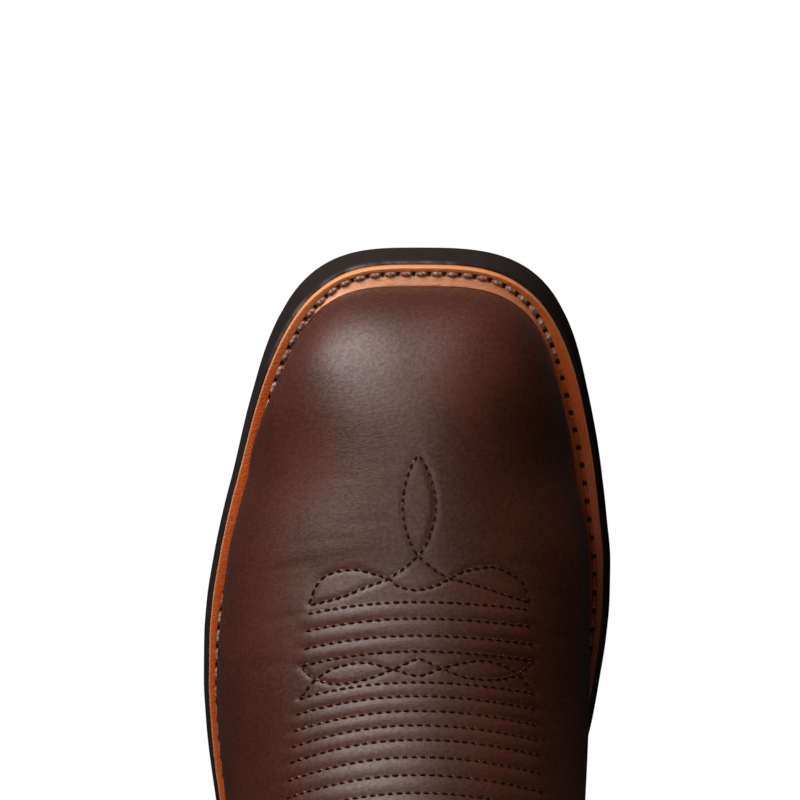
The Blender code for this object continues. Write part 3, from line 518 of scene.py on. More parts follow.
# %% The leather grain and the drift of dye, as groups
def leather_grain_group():
    """Height = pebbles (cells of a Voronoi pattern, rounded) + fine hair cells + wrinkles that run across
    the foot."""
    inputs = {
        "Vector": ("NodeSocketVector", None),
        "Pebbles per metre": ("NodeSocketFloat", 1500.0),
        "Wrinkles": ("NodeSocketFloat", 0.5),
    }
    tree, entry, leave = node_group("leather grain", inputs, ("Height", "Pores"))
    place, pebbles = entry.outputs["Vector"], entry.outputs["Pebbles per metre"]
    wavy = add(tree, "ShaderNodeTexNoise", {"Vector": place, "Scale": 420.0, "Detail": 2.0}).outputs["Color"]
    pushed = add(tree, "ShaderNodeVectorMath", {0: wavy, 1: (0.0006,) * 3}, operation="MULTIPLY")
    shifted = add(tree, "ShaderNodeVectorMath", {0: place, 1: pushed.outputs[0]}, operation="ADD")
    cells = add(tree, "ShaderNodeTexVoronoi",
                {"Vector": shifted.outputs[0], "Scale": pebbles, "Smoothness": 0.6}, feature="SMOOTH_F1")
    pores = ramp(tree, cells.outputs["Distance"], 0.35, 0.75)
    hair = noise(tree, place, 5200.0, 2.0)
    across = add(tree, "ShaderNodeMapping",
                 {"Vector": shifted.outputs[0], "Rotation": (0.0, 0.0, 0.2), "Scale": (4.2, 1.0, 1.4)},
                 vector_type="TEXTURE")
    lines = add(tree, "ShaderNodeTexNoise",
                {"Vector": across.outputs[0], "Scale": 700.0, "Detail": 3.0, "Roughness": 0.55,
                 "Distortion": 0.3})
    fold = math_node(tree, "ABSOLUTE", math_node(tree, "SUBTRACT", lines.outputs[0], 0.5))
    fold = ramp(tree, fold, 0.0, 0.11)
    height = math_node(tree, "MULTIPLY_ADD", pores, -0.4, math_node(tree, "MULTIPLY", hair, 0.28))
    height = math_node(tree, "MULTIPLY_ADD", fold, entry.outputs["Wrinkles"], height)
    fill(tree, leave, {"Height": height, "Pores": pores})
    return tree


def dye_group():
    """Tone = slow noise over centimetres with some fine mottling, Mottle = the fine mottling alone, from 0
    to 1."""
    tree, entry, leave = node_group("dye drift", {"Vector": ("NodeSocketVector", None)}, ("Tone", "Mottle"))
    slow = noise(tree, entry.outputs["Vector"], 38.0, 3.0)
    fine = noise(tree, entry.outputs["Vector"], 900.0, 2.0)
    mixed = math_node(tree, "MULTIPLY_ADD", fine, 0.45, math_node(tree, "MULTIPLY", slow, 0.6))
    fill(tree, leave, {"Tone": ramp(tree, mixed, 0.34, 0.71), "Mottle": ramp(tree, fine, 0.34, 0.66)})
    return tree


GRAIN, DYE = leather_grain_group(), dye_group()
print("groups:", GRAIN.name, "and", DYE.name)


# %% Leathers
def placed(tree, group, inputs):
    """A group put into a material with its own values."""
    return add(tree, "ShaderNodeGroup", inputs, node_tree=group)


def leather(name, dark, light, pebbles, wrinkles, relief, gloss, coat, burnish_and_shade=None):
    """Dyed leather: tone between two browns, darker pores, a darker mark where a piece asks for one
    (painted shade towards the sole, burnished edges on the straps), and an uneven coat of wax."""
    made, tree, shader, place = finish(name)
    grain = placed(tree, GRAIN, {"Vector": place, "Pebbles per metre": pebbles, "Wrinkles": wrinkles})
    dye = placed(tree, DYE, {"Vector": place})
    tone = dye.outputs["Tone"]
    colour = blend(tree, tone, (*dark, 1), (*light, 1))
    colour = blend(tree, math_node(tree, "MULTIPLY", grain.outputs["Pores"], 0.35), colour, (*dark, 1))
    rough = math_node(tree, "MULTIPLY_ADD", tone, 0.08, gloss)
    if burnish_and_shade:
        # darker mark: painted shade towards the sole, and burnished edges on the straps
        mark = add(tree, "ShaderNodeAttribute", attribute_name="burnish_and_shade").outputs["Fac"]
        colour = blend(tree, mark, colour, (*burnish_and_shade, 1))
    normal = bumped(tree, grain.outputs["Height"], 1.0, relief)
    wax = math_node(tree, "MULTIPLY", dye.outputs["Mottle"], 2 * coat)
    fill(tree, shader, {"Base Color": colour, "Roughness": rough, "Normal": normal, "Coat Weight": wax})
    fill(tree, shader, {"Coat Roughness": 0.38, "Specular IOR Level": 0.5})
    return made


VAMP_LEATHER = leather(
    "vamp leather", dark=(0.061, 0.0126, 0.0050), light=(0.098, 0.0217, 0.0092), pebbles=1500, wrinkles=0.5,
    relief=0.00003, gloss=0.45, coat=0.18, burnish_and_shade=(0.016, 0.004, 0.002))
SHAFT_LEATHER = leather(
    "shaft leather", dark=(0.045, 0.0095, 0.004), light=(0.080, 0.018, 0.0085), pebbles=1100, wrinkles=0.4,
    relief=0.00010, gloss=0.46, coat=0.08, burnish_and_shade=(0.016, 0.004, 0.002))
LINING = leather(
    "lining leather", dark=(0.22, 0.125, 0.065), light=(0.34, 0.21, 0.12), pebbles=2200, wrinkles=0.2,
    relief=0.00006, gloss=0.62, coat=0.0)
INSOLE = leather(
    "insole leather", dark=(0.30, 0.175, 0.09), light=(0.42, 0.27, 0.155), pebbles=1800, wrinkles=0.25,
    relief=0.00006, gloss=0.6, coat=0.0)
print("leathers:", VAMP_LEATHER.name, SHAFT_LEATHER.name, LINING.name, INSOLE.name)

# %% [markdown]
# ## The vamp
#
# The vamp is the leather over the foot. Rows of stitching across it pull a cord under the leather, so it
# stands up in soft ridges between the rows, and a leaf with scallops below it is sewn as an ornament over
# the toes. Bump could fake the ridges, but their highlights and edges show from the side, so they are real:
# the sheet is lifted by half sine waves between the rows and pressed down along every line of stitches.
# Fine creases where the foot bends are placed one by one.

# %% Where the stitches run, in shoe millimetres seen from above
ROW_MIDDLES = (209.8, 205.4, 200.9, 196.8, 188.7, 185.1, 181.3, 177.6, 173.9, 169.5, 165.0, 160.5, 156.1)
ROW_ENDS = {
    "row": (0, 3, 5, 9, 12),
    "lateral": (29.0, 30.4, 31.8, 33.6, 34.6),
    "medial": (28.7, 30.2, 30.3, 31.5, 32.0),
    "lateral_drop": (3.5, 4.2, 5.4, 6.9, 7.0),
    "medial_drop": (2.2, 2.9, 4.0, 5.0, 5.7),
}
FLAT_BAND = 3
LEAF = {"tip": 249.2, "base": 222.4, "lateral": 4.0, "medial": 4.6, "round": 0.75}
STRANDS = {
    "leaf to lateral": ((0, -3.5, -7.9, -14.2, -20.3, -28.5), (222.4, 219.2, 216.2, 213.6, 211.0, 208.8)),
    "leaf to medial": ((0, 2.7, 8.4, 13.4, 18.3, 23.4, 29.2),
                       (222.4, 220.0, 216.3, 215.0, 213.5, 211.5, 209.7)),
    "lateral scallop": ((-28.7, -27.3, -25.4, -22.5, -17.2, -10.3, -7.4, -5.5, -2.7, 0),
                        (208.8, 213.1, 216.0, 217.7, 218.6, 217.0, 216.0, 214.3, 213.4, 213.0)),
    "medial scallop": ((0, 4.5, 8.0, 12.2, 16.4, 19.6, 23.6, 26.0, 27.8, 29.2),
                       (213.0, 214.3, 216.1, 218.2, 219.1, 219.3, 217.7, 216.3, 214.3, 209.7)),
    "lateral ogee": ((-30.5, -26.8, -21.5, -14.1, -6.6, 0), (192.2, 189.3, 188.1, 189.3, 192.1, 195.1)),
    "medial ogee": ((0, 6.5, 13.3, 19.4, 25.5, 29.6), (195.1, 192.3, 189.8, 189.3, 190.5, 193.7)),
    "ogee below": ((-30.7, -26.9, -21.0, -14.1, -6.6, 0, 6.8, 16.5, 23.1, 27.1, 30.0),
                   (184.0, 188.9, 192.5, 193.8, 192.1, 190.5, 192.7, 194.4, 192.4, 189.2, 185.3)),
}
PATH_STEP = 0.4


def row_line(row, x):
    """Station of a stitched row at a place across it: a parabola that falls away more on the lateral
    side."""
    row = np.asarray(row)
    end = np.where(x < 0, along(ROW_ENDS, "lateral", row), along(ROW_ENDS, "medial", row))
    drop = np.where(x < 0, along(ROW_ENDS, "lateral_drop", row), along(ROW_ENDS, "medial_drop", row))
    return np.take(ROW_MIDDLES, row) - drop * (x / end) ** 2


def even_path(points, step=PATH_STEP):
    """A smooth curve through given points, as points an even step apart."""
    points = np.asarray(points, float)
    span = np.concatenate([[0], np.cumsum(np.linalg.norm(np.diff(points, axis=0), axis=1))])
    fine = np.linspace(0, span[-1], 20 * len(points))
    curve = np.stack([smooth(span, column, fine) for column in points.T], axis=1)
    length = np.concatenate([[0], np.cumsum(np.linalg.norm(np.diff(curve, axis=0), axis=1))])
    at = np.linspace(0, length[-1], max(2, int(length[-1] / step)))
    return np.stack([np.interp(at, length, column) for column in curve.T], axis=1)


def leaf_side(side, sign):
    """One side of the leaf, a half sine bulging from its tip to its base."""
    t = np.linspace(0, 1, 60)
    x = sign * LEAF[side] * np.sin(math.pi * t) ** LEAF["round"]
    return even_path(np.stack([x, LEAF["tip"] + (LEAF["base"] - LEAF["tip"]) * t], axis=1))


ornament = [leaf_side("lateral", -1), leaf_side("medial", 1)]
ornament += [even_path(np.stack(strand, axis=1)) for strand in STRANDS.values()]
rows = []
for row in range(len(ROW_MIDDLES)):
    x = np.linspace(-along(ROW_ENDS, "lateral", row), along(ROW_ENDS, "medial", row), 60)
    rows.append(even_path(np.stack([x, row_line(row, x)], axis=1)))
print(len(rows), "rows and", len(ornament), "ornament lines on the vamp")

# %% The relief of the vamp
CORD_HEIGHT, BAND_HEIGHT, PULL, PULL_WIDTH = 0.44, 0.22, 0.30, 0.75
CREASES = {
    "x": (-4, -27, -14, 20, -33, 27, -6, -22, 33, 8, -36, 16, -18, 36, -40),
    "y": (219.5, 226, 231, 228, 219, 220, 239, 243, 212, 243, 205, 236, 222, 200, 192),
    "half": (40, 13, 12, 12, 9, 9, 10, 11, 7, 11, 7, 9, 8, 7, 8),
    "tilt": (0.0, 0.16, 0.12, -0.10, 0.22, -0.16, 0.06, 0.12, -0.24, -0.05, 0.25, -0.1, 0.2, -0.25, 0.3),
    "depth": (0.45, 0.10, 0.08, 0.08, 0.12, 0.10, 0.06, 0.06, 0.12, 0.05, 0.14, 0.07, 0.09, 0.12, 0.13),
    "width": (5.0, 1.0, 0.9, 0.9, 1.2, 1.1, 0.8, 0.9, 1.3, 0.8, 1.4, 0.9, 1.0, 1.3, 1.5),
}


def cords(x, y):
    """Half sine ridges between neighbouring rows, fading out at the rows' ends."""
    height = np.zeros_like(x)
    for row in range(len(ROW_MIDDLES) - 1):
        upper, lower = row_line(row, x), row_line(row + 1, x)
        t = np.clip((upper - y) / (upper - lower), 0, 1)
        end = np.where(x < 0, along(ROW_ENDS, "lateral", row), along(ROW_ENDS, "medial", row))
        fade = eased((end - np.abs(x)) / 5 + 0.7)
        swell, power = (BAND_HEIGHT, 0.4) if row == FLAT_BAND else (CORD_HEIGHT, 0.75)
        height += swell * np.sin(math.pi * t) ** power * fade
    return height


def pulled_in(x, y, paths):
    """How far the thread pulls the leather down: a bell round the nearest point of the stitched lines."""
    line = np.concatenate(paths)
    near = (x > line[:, 0].min() - 3) & (x < line[:, 0].max() + 3)
    near &= (y > line[:, 1].min() - 3) & (y < line[:, 1].max() + 3)
    place = np.stack([x[near], y[near]], axis=1)
    parts = np.array_split(place, 1 + len(place) // 2000)
    apart = np.concatenate([((p[:, None] - line) ** 2).sum(-1).min(1) for p in parts])
    depth = np.zeros_like(x)
    depth[near] = PULL * np.exp(-apart / PULL_WIDTH**2)
    return depth


def creases(x, y):
    """Shallow troughs across the bend of the foot, each a bell across its line that fades at its ends."""
    depth = np.zeros_like(x)
    for cx, cy, half, tilt, deep, width in zip(*CREASES.values()):
        along_it = (x - cx) * math.cos(tilt) + (y - cy) * math.sin(tilt)
        across_it = (y - cy) * math.cos(tilt) - (x - cx) * math.sin(tilt) + 0.004 * along_it**2
        depth += deep * np.exp(-((across_it / width) ** 2)) * eased(1.6 * (1 - np.abs(along_it) / half))
    return depth


# %% The vamp's sheet
VAMP_EDGE = {"z": (28, 60, 76, 88, 105, 125, 142, 153), "y": (66, 68, 73, 86, 101, 113, 120.5, 126.5)}
OVERLAY_GAP, OVERLAY = 0.6, 1.2
EVEN_ROWS, SEWN_SHARE, TOE_CROWDING = 4.15, 0.34, 1.5
EDGE_SKIVED = (0.12, 0.45)


def both_sides(side):
    """Steps from the crest outwards, mirrored to run from the lateral end to the medial end."""
    return np.concatenate([-side[:0:-1], side])


def vamp_edge(v, inward=0.0):
    """For each v, the u where the last leaves the vamp in the side view, or a distance before it gets
    there."""
    u = np.linspace(EVEN_ROWS, CLOSED_ROW, 900)
    place = last_form(u[:, None], np.asarray(v)[None, :])
    slope = (along(VAMP_EDGE, "y", place[..., 2] + 0.5) - along(VAMP_EDGE, "y", place[..., 2] - 0.5))
    depth = place[..., 1] - along(VAMP_EDGE, "y", place[..., 2]) - inward * np.sqrt(1 + slope**2)
    k = np.maximum((depth < 0).argmax(axis=0), 1)
    j = np.arange(len(v))
    before, after = depth[k - 1, j], depth[k, j]
    return u[k - 1] + (u[1] - u[0]) * np.clip(before / (before - after), 0, 1)


def painted_shade_low(points, reach):
    """Painted shade on leather towards the sole, where it turns in to the welt: 1 at the lower edge,
    fading upwards.
    """
    return np.exp(-np.maximum(points[..., 2] - feather_level(points[..., 1]), 0) / reach)


over_the_top = np.linspace(0, SEWN_SHARE, 52)
down_the_side = np.linspace(SEWN_SHARE, CROWN_SHARE, 19)[1:]
v = both_sides(np.concatenate([over_the_top, down_the_side, np.linspace(CROWN_SHARE, 1, 15)[1:]]))
toe_rows = 1 - (1 - np.linspace(0, 1, 45)[:-1]) ** TOE_CROWDING
even = np.concatenate([toe_rows, np.linspace(1, 2, 25)[:-1], np.linspace(2, EVEN_ROWS, 126)])
climb = np.concatenate([np.linspace(0, 0.97, 40)[1:], (0.985, 0.994, 1.0)])
u = np.concatenate([
    np.repeat(even[:, None], len(v), axis=1),
    EVEN_ROWS + climb[:, None] * (vamp_edge(v)[None, :] - EVEN_ROWS),
])
points, normal = sheet_on_last(u, np.broadcast_to(v, u.shape), rounded=True)
x, y = points[..., 0], points[..., 1]
lift = OVERLAY_GAP + OVERLAY + cords(x, y) - pulled_in(x, y, ornament) - creases(x, y)
lift[-2:] -= np.array(EDGE_SKIVED)[:, None]
vamp_outer, vamp_inner = lifted(points, normal, lift), lifted(points, normal, OVERLAY_GAP)
both = np.stack([vamp_outer, vamp_inner])
# painted shade along the vamp's lower edge, by the welt
piece("vamp_shell", wall(vamp_outer, vamp_inner), [VAMP_LEATHER], "vamp",
      values={"burnish_and_shade": 0.85 * painted_shade_low(both, 5.0)})

# %% [markdown]
# ## Thread
#
# A stitch is a short length of thread that comes up through one hole and goes down through the next, so it
# is a bowed rod, thickest in the middle, with its ends sunk in the leather. Thousands of them would be slow
# as objects. They are worked out all at once instead, as one array of rings, and joined in one mesh for
# each seam.


# %% Rows of stitches as one array
def thread(name, dark, light, turns, tip, highlight_scale):
    """Waxed thread: bands along the stitch's own map for its twist, and pale specks of painted highlight
    past a place along it; where no place is given, the painted highlight lies on the twist's bands."""
    made, tree, shader, place = finish(name)
    along_map = add(tree, "ShaderNodeUVMap", uv_map="along").outputs[0]
    split = add(tree, "ShaderNodeSeparateXYZ", {0: along_map})
    lay = math_node(tree, "MULTIPLY_ADD", split.outputs[0], turns, split.outputs[1])
    twist = math_node(tree, "PINGPONG", lay, 0.5)
    twist = ramp(tree, twist, 0.05, 0.35)
    # pale specks of painted highlight: at the stitch's end when tip is set, else on the twist's bands
    painted_highlight = noise(tree, place, highlight_scale, 2.0)
    place_on_it = ramp(tree, split.outputs[0], tip - 0.06, tip + 0.06) if tip else twist
    pale = math_node(tree, "MULTIPLY", ramp(tree, painted_highlight, 0.38, 0.62), place_on_it)
    colour = blend(tree, pale, (*dark, 1), (*light, 1))
    fill(tree, shader, {"Base Color": colour, "Normal": bumped(tree, twist, 0.8, 0.00012)})
    fill(tree, shader, {"Roughness": 0.62, "Specular IOR Level": 0.08})
    return made


# the vamp thread's pale tips are painted highlight where its end catches the light
VAMP_THREAD = thread(
    "vamp thread", dark=(0.050, 0.0135, 0.0085), light=(0.55, 0.30, 0.19), turns=3.0, tip=0.25, highlight_scale=420.0)
# the welt thread's pale bands are painted highlight on its plies
WELT_THREAD = thread(
    "welt thread", dark=(0.27, 0.145, 0.11), light=(0.56, 0.37, 0.30), turns=2.5, tip=0.0, highlight_scale=1300.0)


def stitch_numbers(path, pitch):
    """Each point's place along a path counted in stitches: the sum of its steps over the pitch, which may
    change along the path, stretched a little to end on a whole stitch."""
    step = np.linalg.norm(np.diff(path, axis=0), axis=1)
    number = np.concatenate([[0], np.cumsum(step / np.broadcast_to(pitch, len(path))[1:])])
    return number * max(1, round(number[-1])) / number[-1]


def stitches(path, out, pitch, fill, radius, rise, sides=6):
    """Stitches along a path with its way out at each point. Each fills a part of its pitch. Over it, t from
    -1 to 1: the rod's middle rises as 1 - t^4 and its radius falls as the root of 1 - t^2. Gives points,
    faces and the map (length, turn)."""
    number = stitch_numbers(path, pitch)
    count = round(number[-1])
    t = np.linspace(-1, 1, 7)
    at = np.arange(count)[:, None] + 0.5 + t * fill / 2
    middle = np.stack([np.interp(at, number, path[:, i]) for i in range(3)], axis=-1)
    normal = np.stack([np.interp(at, number, out[:, i]) for i in range(3)], axis=-1)
    ahead = np.gradient(middle, axis=1)
    aside = np.cross(ahead, normal)
    aside /= np.maximum(np.linalg.norm(aside, axis=-1, keepdims=True), 1e-9)
    middle = middle + normal * (rise * (1 - t**4) - 0.35 * radius)[:, None]
    thick = radius * np.sqrt(1 - 0.94 * t**2)
    angle = np.arange(sides) * 2 * math.pi / sides
    ring = aside[:, :, None] * np.cos(angle)[:, None] + normal[:, :, None] * np.sin(angle)[:, None]
    points = middle[:, :, None] + ring * thick[:, None, None]
    one = grid_quads(len(t), sides, closed=True)[:, ::-1]
    each = np.arange(count)[:, None, None] * len(t) * sides
    ends = np.stack([np.arange(sides), len(t) * sides - 1 - np.arange(sides)])
    faces = (one + each).reshape(-1, 4).tolist() + (ends + each).reshape(-1, sides).tolist()
    uv = np.broadcast_arrays(t[:, None] / 2, np.arange(sides) / sides)
    uv = np.broadcast_to(np.stack(uv, axis=-1), (count, len(t), sides, 2))
    return points.reshape(-1, 3), faces, uv.reshape(-1, 2)


def sew(name, runs, material, **sizes):
    """All stitches of several runs, each a path and its way out, joined in one piece."""
    made = [stitches(path, out, **sizes) for path, out in runs]
    start = np.cumsum([0] + [len(m[0]) for m in made])
    faces = [[i + first for i in face] for first, m in zip(start, made) for face in m[1]]
    points, uv = (np.concatenate([m[k] for m in made]) for k in (0, 2))
    return piece(name, (points, faces), [material], uv=uv, join=False)


# %% Sewing the vamp
def from_above(points):
    """Places in the plan."""
    return points[..., :2]


def run_on_vamp(path, extra=0.0):
    """A line drawn from above, laid on the vamp's outer face."""
    at_u, at_v = on_last(from_above, path, (0.8, 4.6), (-0.5, 0.5))
    x, y = path.T
    down = creases(x, y) - cords(x, y) - extra
    return laid(at_u, at_v, OVERLAY_GAP + OVERLAY - down)


runs = [run_on_vamp(path, -PULL) for path in ornament] + [run_on_vamp(path) for path in rows]
sew("vamp_stitching", runs, VAMP_THREAD, pitch=2.4, fill=0.86, radius=0.39, rise=0.34)

# %% [markdown]
# ## The welt
#
# The welt is the strip of pale leather that joins the upper to the sole. Its outer rim stands flat on the
# sole, a channel holds the lock stitches, and its inner edge turns up against the upper. It is one profile
# carried along the sole's edge. At each needle hole the thread pinches the inner edge, so the profile
# changes a little along its path.

# %% The sole's edge in fine steps
STEPS = {"heel": 40, "side": 170, "toe": 70}
TOE_SPACING = 0.75


def plan_sides(plan, ends):
    """Both sides of a plan, medial and lateral, from the heel's back to the toe's tip, and the outward
    direction."""
    first, last = plan["station"][0], plan["station"][-1]
    turn = np.linspace(0, math.pi / 2, STEPS["toe"])
    toe = last - ends["toe length"] * (1 - np.sin(turn) ** TOE_SPACING)
    turn = np.linspace(math.pi / 2, 0, STEPS["heel"])
    heel = first + ends["heel length"] * (1 - np.sin(turn))
    y = np.concatenate([heel, np.linspace(heel[-1], toe[0], STEPS["side"])[1:-1], toe])
    medial = np.stack([half_width(plan, ends, "medial", y), y], axis=1)
    lateral = np.stack([-half_width(plan, ends, "lateral", y), y], axis=1)
    loop = np.concatenate([medial, lateral[-2:0:-1]])
    ahead = np.roll(loop, -1, axis=0) - np.roll(loop, 1, axis=0)
    ahead /= np.linalg.norm(ahead, axis=1)[:, None]
    outward = np.stack([ahead[:, 1], -ahead[:, 0]], axis=1)
    count = len(y)
    back = np.concatenate([outward[:1], outward[:count - 2:-1]])
    return np.stack([medial, lateral]), np.stack([outward[:count], back])


SOLE, SOLE_OUT = plan_sides(SOLE_PLAN, SOLE_ENDS)
FEATHER = plan_sides(FEATHER_PLAN, FEATHER_ENDS)[0]


def by_side(table):
    """A table's two sides at every station of the sole's edge."""
    return np.stack([along(table, side, SOLE[0, :, 1]) for side in ("medial", "lateral")])


LEAN = by_side(SOLE_FLARE)


def one_way_round(sides):
    """Two sides as one path: medial from the heel to the toe's tip, then lateral back to the heel."""
    return np.concatenate([sides[0], sides[1][-2::-1]])


print("sole's edge:", SOLE.shape[1], "stations on each side")

# %% The welt's strip and its stitches
WELT_END, WELT_LIP, WELT_UNDER = 67.0, 1.1, 5.0
WELT_CHANNEL = {
    "station": (67, 150, 190, 203, 214, 225, 250, 268, 281, 292, 303),
    "medial": (2.4, 2.4, 2.3, 2.35, 2.5, 2.8, 3.35, 3.9, 3.6, 2.9, 1.9),
    "lateral": (2.3, 2.4, 2.5, 2.8, 3.45, 3.6, 3.5, 3.2, 2.9, 2.7, 1.9),
}
WELT_PITCH = {"station": (67, 250, 276, 294, 303), "length": (5.3, 5.1, 5.0, 4.4, 4.3)}
RIM = {"in": (0.0, 0.0, 0.08, 0.22, 0.4, 0.6), "up": (-2.6, -0.5, -0.2, -0.06, -0.01, 0.0)}
# share of painted highlight at each point of the rim, along its outer edge
RIM_PAINTED_HIGHLIGHT = (0.0, 0.6, 1.0, 0.65, 0.1, 0.0)
CHANNEL = {
    "in": (-0.85, -0.6, -0.32, 0.0, 0.32, 0.6, 0.9),
    "up": (0.0, -0.1, -0.36, -0.46, -0.34, -0.06, 0.14),
    "pinch": (0, 0, -0.06, -0.14, -0.10, -0.03, 0.03),
}
BAND = {"share": (0.3, 0.65, 0.92, 1.0), "up": (0.42, 0.80, 1.12, 1.05), "pinch": (0.07, 0.04, 0.02, 0.0)}
SUNK = {"depth": 0.90, "toe": (286, 14), "side": (20, 30)}

keep = one_way_round(SOLE[..., 1:])[:, 0] >= WELT_END
edge = one_way_round(SOLE - SOLE_OUT * (WELT_LIP + LEAN)[..., None])[keep]
inward = -one_way_round(SOLE_OUT)[keep]
apart = edge[:, None] - one_way_round(FEATHER)
room = np.linalg.norm(apart, axis=2).min(axis=1) + WELT_UNDER
station = edge[:, 1]
channel = one_way_round(by_side(WELT_CHANNEL))[keep]
top = along(FEATHER_RISE, "height", station) - 0.7
line = edge + inward * channel[:, None]
sunk = eased((SUNK["toe"][0] - station) / SUNK["toe"][1])
sunk = SUNK["depth"] * sunk * eased((line[:, 0] + SUNK["side"][0]) / SUNK["side"][1])
seat = bent(line[:, 0], line[:, 1], top - 0.5 - sunk)
pitch = along(WELT_PITCH, "length", station)
phase = stitch_numbers(seat, pitch)
pinch = np.cos(2 * math.pi * phase)[:, None]
thin = np.clip(top / 2.9, 0.3, 1)[:, None]
start = channel + CHANNEL["in"][-1]
foot = np.maximum(room - WELT_UNDER - OVERLAY_GAP - OVERLAY - 0.1, start + 0.5)
depth_in = np.concatenate([
    np.broadcast_to(RIM["in"], (len(edge), len(RIM["in"]))),
    channel[:, None] + np.array(CHANNEL["in"]),
    start[:, None] + (foot - start)[:, None] * np.array(BAND["share"]),
    foot[:, None] + (0.1, 0.1) + (room - foot - 0.1)[:, None] * (0, 1),
    room[:, None],
], axis=1)
raised = np.concatenate([
    top[:, None] + np.array(RIM["up"]) * thin,
    top[:, None] + np.array(CHANNEL["up"]) * thin + pinch * np.array(CHANNEL["pinch"]),
    top[:, None] + np.array(BAND["up"]) * thin + pinch * np.array(BAND["pinch"]),
    np.stack([top + 0.4, top + 0.4, 0 * top + 0.3], axis=1),
], axis=1)
# painted highlight on the rim, none past it
painted_highlight = np.concatenate([RIM_PAINTED_HIGHLIGHT, np.zeros(depth_in.shape[1] - len(RIM_PAINTED_HIGHLIGHT))])
plan = edge[:, None] + inward[:, None] * depth_in[..., None]
welt = bent(plan[..., 0], plan[..., 1], raised)
welt_map = np.stack(np.broadcast_arrays(phase[:, None], depth_in - channel[:, None]), axis=-1)
print("welt:", len(edge), "stations with", round(phase[-1]), "stitches")


# %% Welt leather, with its needle holes
def welt_leather():
    """Tan leather, with painted light and shade: paler round the toe, partly its own paler tone and partly
    painted light where the lamp falls, less so medially; painted shade on the medial side; a paler
    turned-up edge; a painted highlight along the rim's outer edge; painted shade along the stitch channel;
    and dark holes of painted shade where the map's first number is whole and its second is zero."""
    made, tree, shader, place = finish("welt leather")
    split = add(tree, "ShaderNodeSeparateXYZ", {0: add(tree, "ShaderNodeUVMap", uv_map="along").outputs[0]})
    step, across = split.outputs[0], split.outputs[1]
    grain = placed(tree, GRAIN, {"Vector": place, "Pebbles per metre": 2600.0, "Wrinkles": 0.3})
    tone = placed(tree, DYE, {"Vector": place}).outputs["Tone"]
    colour = blend(tree, tone, (0.60, 0.085, 0.003, 1), (0.74, 0.115, 0.005, 1))
    where = add(tree, "ShaderNodeSeparateXYZ", {0: place})
    # paler round the toe, less so medially: partly the leather's own tone, partly painted light
    pale_toe_and_painted_light = ramp(tree, where.outputs[1], 0.112, 0.140)
    pale_toe_and_painted_light = math_node(tree, "MULTIPLY", pale_toe_and_painted_light, ramp(tree, where.outputs[0], -0.005, 0.035, 1.0, 0.35))
    colour = blend(tree, pale_toe_and_painted_light, colour, (0.82, 0.25, 0.070, 1))
    # painted shade on the medial side, stronger further back
    painted_medial_shade = math_node(tree, "MULTIPLY", ramp(tree, where.outputs[0], 0.035, 0.052, 0.0, 0.75),
                      ramp(tree, where.outputs[1], 0.115, 0.05))
    turned = blend(tree, pale_toe_and_painted_light, (0.60, 0.15, 0.030, 1), (0.92, 0.40, 0.21, 1))
    colour = blend(tree, ramp(tree, across, 0.3, 1.3, 0.0, 0.85), colour, turned)
    # painted highlight along the rim's outer edge
    rim = add(tree, "ShaderNodeAttribute", attribute_name="rim").outputs["Fac"]
    colour = blend(tree, math_node(tree, "MULTIPLY", rim, 0.8), colour, (0.90, 0.44, 0.19, 1))
    colour = blend(tree, painted_medial_shade, colour, (0.12, 0.022, 0.003, 1))
    # painted shade along the stitch channel
    groove = math_node(tree, "ABSOLUTE", across)
    colour = blend(tree, ramp(tree, groove, 0.7, 0.2, 0.0, 0.35), colour, (0.22, 0.05, 0.009, 1))
    ahead = math_node(tree, "MULTIPLY", math_node(tree, "PINGPONG", step, 0.5), WELT_PITCH["length"][-1])
    apart = math_node(tree, "SQRT", math_node(tree, "ADD", math_node(tree, "POWER", ahead, 2.0),
                                              math_node(tree, "POWER", groove, 2.0)))
    # dark needle holes: painted shade in the holes
    hole = ramp(tree, apart, 0.80, 0.50)
    colour = blend(tree, hole, colour, (0.004, 0.0015, 0.001, 1))
    height = math_node(tree, "MULTIPLY_ADD", hole, -2.5, grain.outputs["Height"])
    rough = math_node(tree, "MULTIPLY_ADD", tone, 0.12, 0.44)
    normal = bumped(tree, height, 1.0, 0.00010)
    fill(tree, shader, {"Base Color": colour, "Roughness": rough, "Normal": normal})
    fill(tree, shader, {"Coat Weight": 0.05, "Coat Roughness": 0.3})
    return made


piece("welt_strip", strip(welt), [welt_leather()], "welt", uv=welt_map, join=False,
      values={"rim": np.broadcast_to(painted_highlight, depth_in.shape)})
over_sole = bent(line[:, 0], line[:, 1], top + 0.5) - seat
sew("welt_stitching", [(seat, over_sole / np.linalg.norm(over_sole, axis=1)[:, None])], WELT_THREAD,
    pitch=pitch, fill=0.86, radius=0.84, rise=0.5, sides=8)

# %% [markdown]
# ## Sole and heel
#
# The sole is moulded rubber: a rounded lip under the welt, a smooth side that leans out a little, and bars
# across its tread. Each station along its length is one closed section, across the tread, up one side, over
# the top and down the other, so the whole sole is a grid of stations and section points. The heel's leather
# stack and its rubber lift are made the same way from the sole's own edge, with a flat front.

# %% Rubber
SOLE_SIDE = {
    "inset": (0.9, 0.4, 0.1, 0.0, 0.0, 0.0, 0.0, 0.0, 0.0, 0.05, 0.22, 0.5, 0.9),
    "down": (1, 0.985, 0.95, 0.9, 0.75, 0.6, 0.45, 0.3, 0.18, 0.11, 0.05, 0.015, 0),
}
FLARE_FOOT = 0.9
TREAD = {"first": 172.0, "last": 262.0, "count": 10, "width": 3.6, "depth": 2.2, "border": 10.0}
LIFT_TREAD = {"first": 18.0, "last": 48.0, "count": 4, "width": 3.0, "depth": 1.8, "border": 9.0}


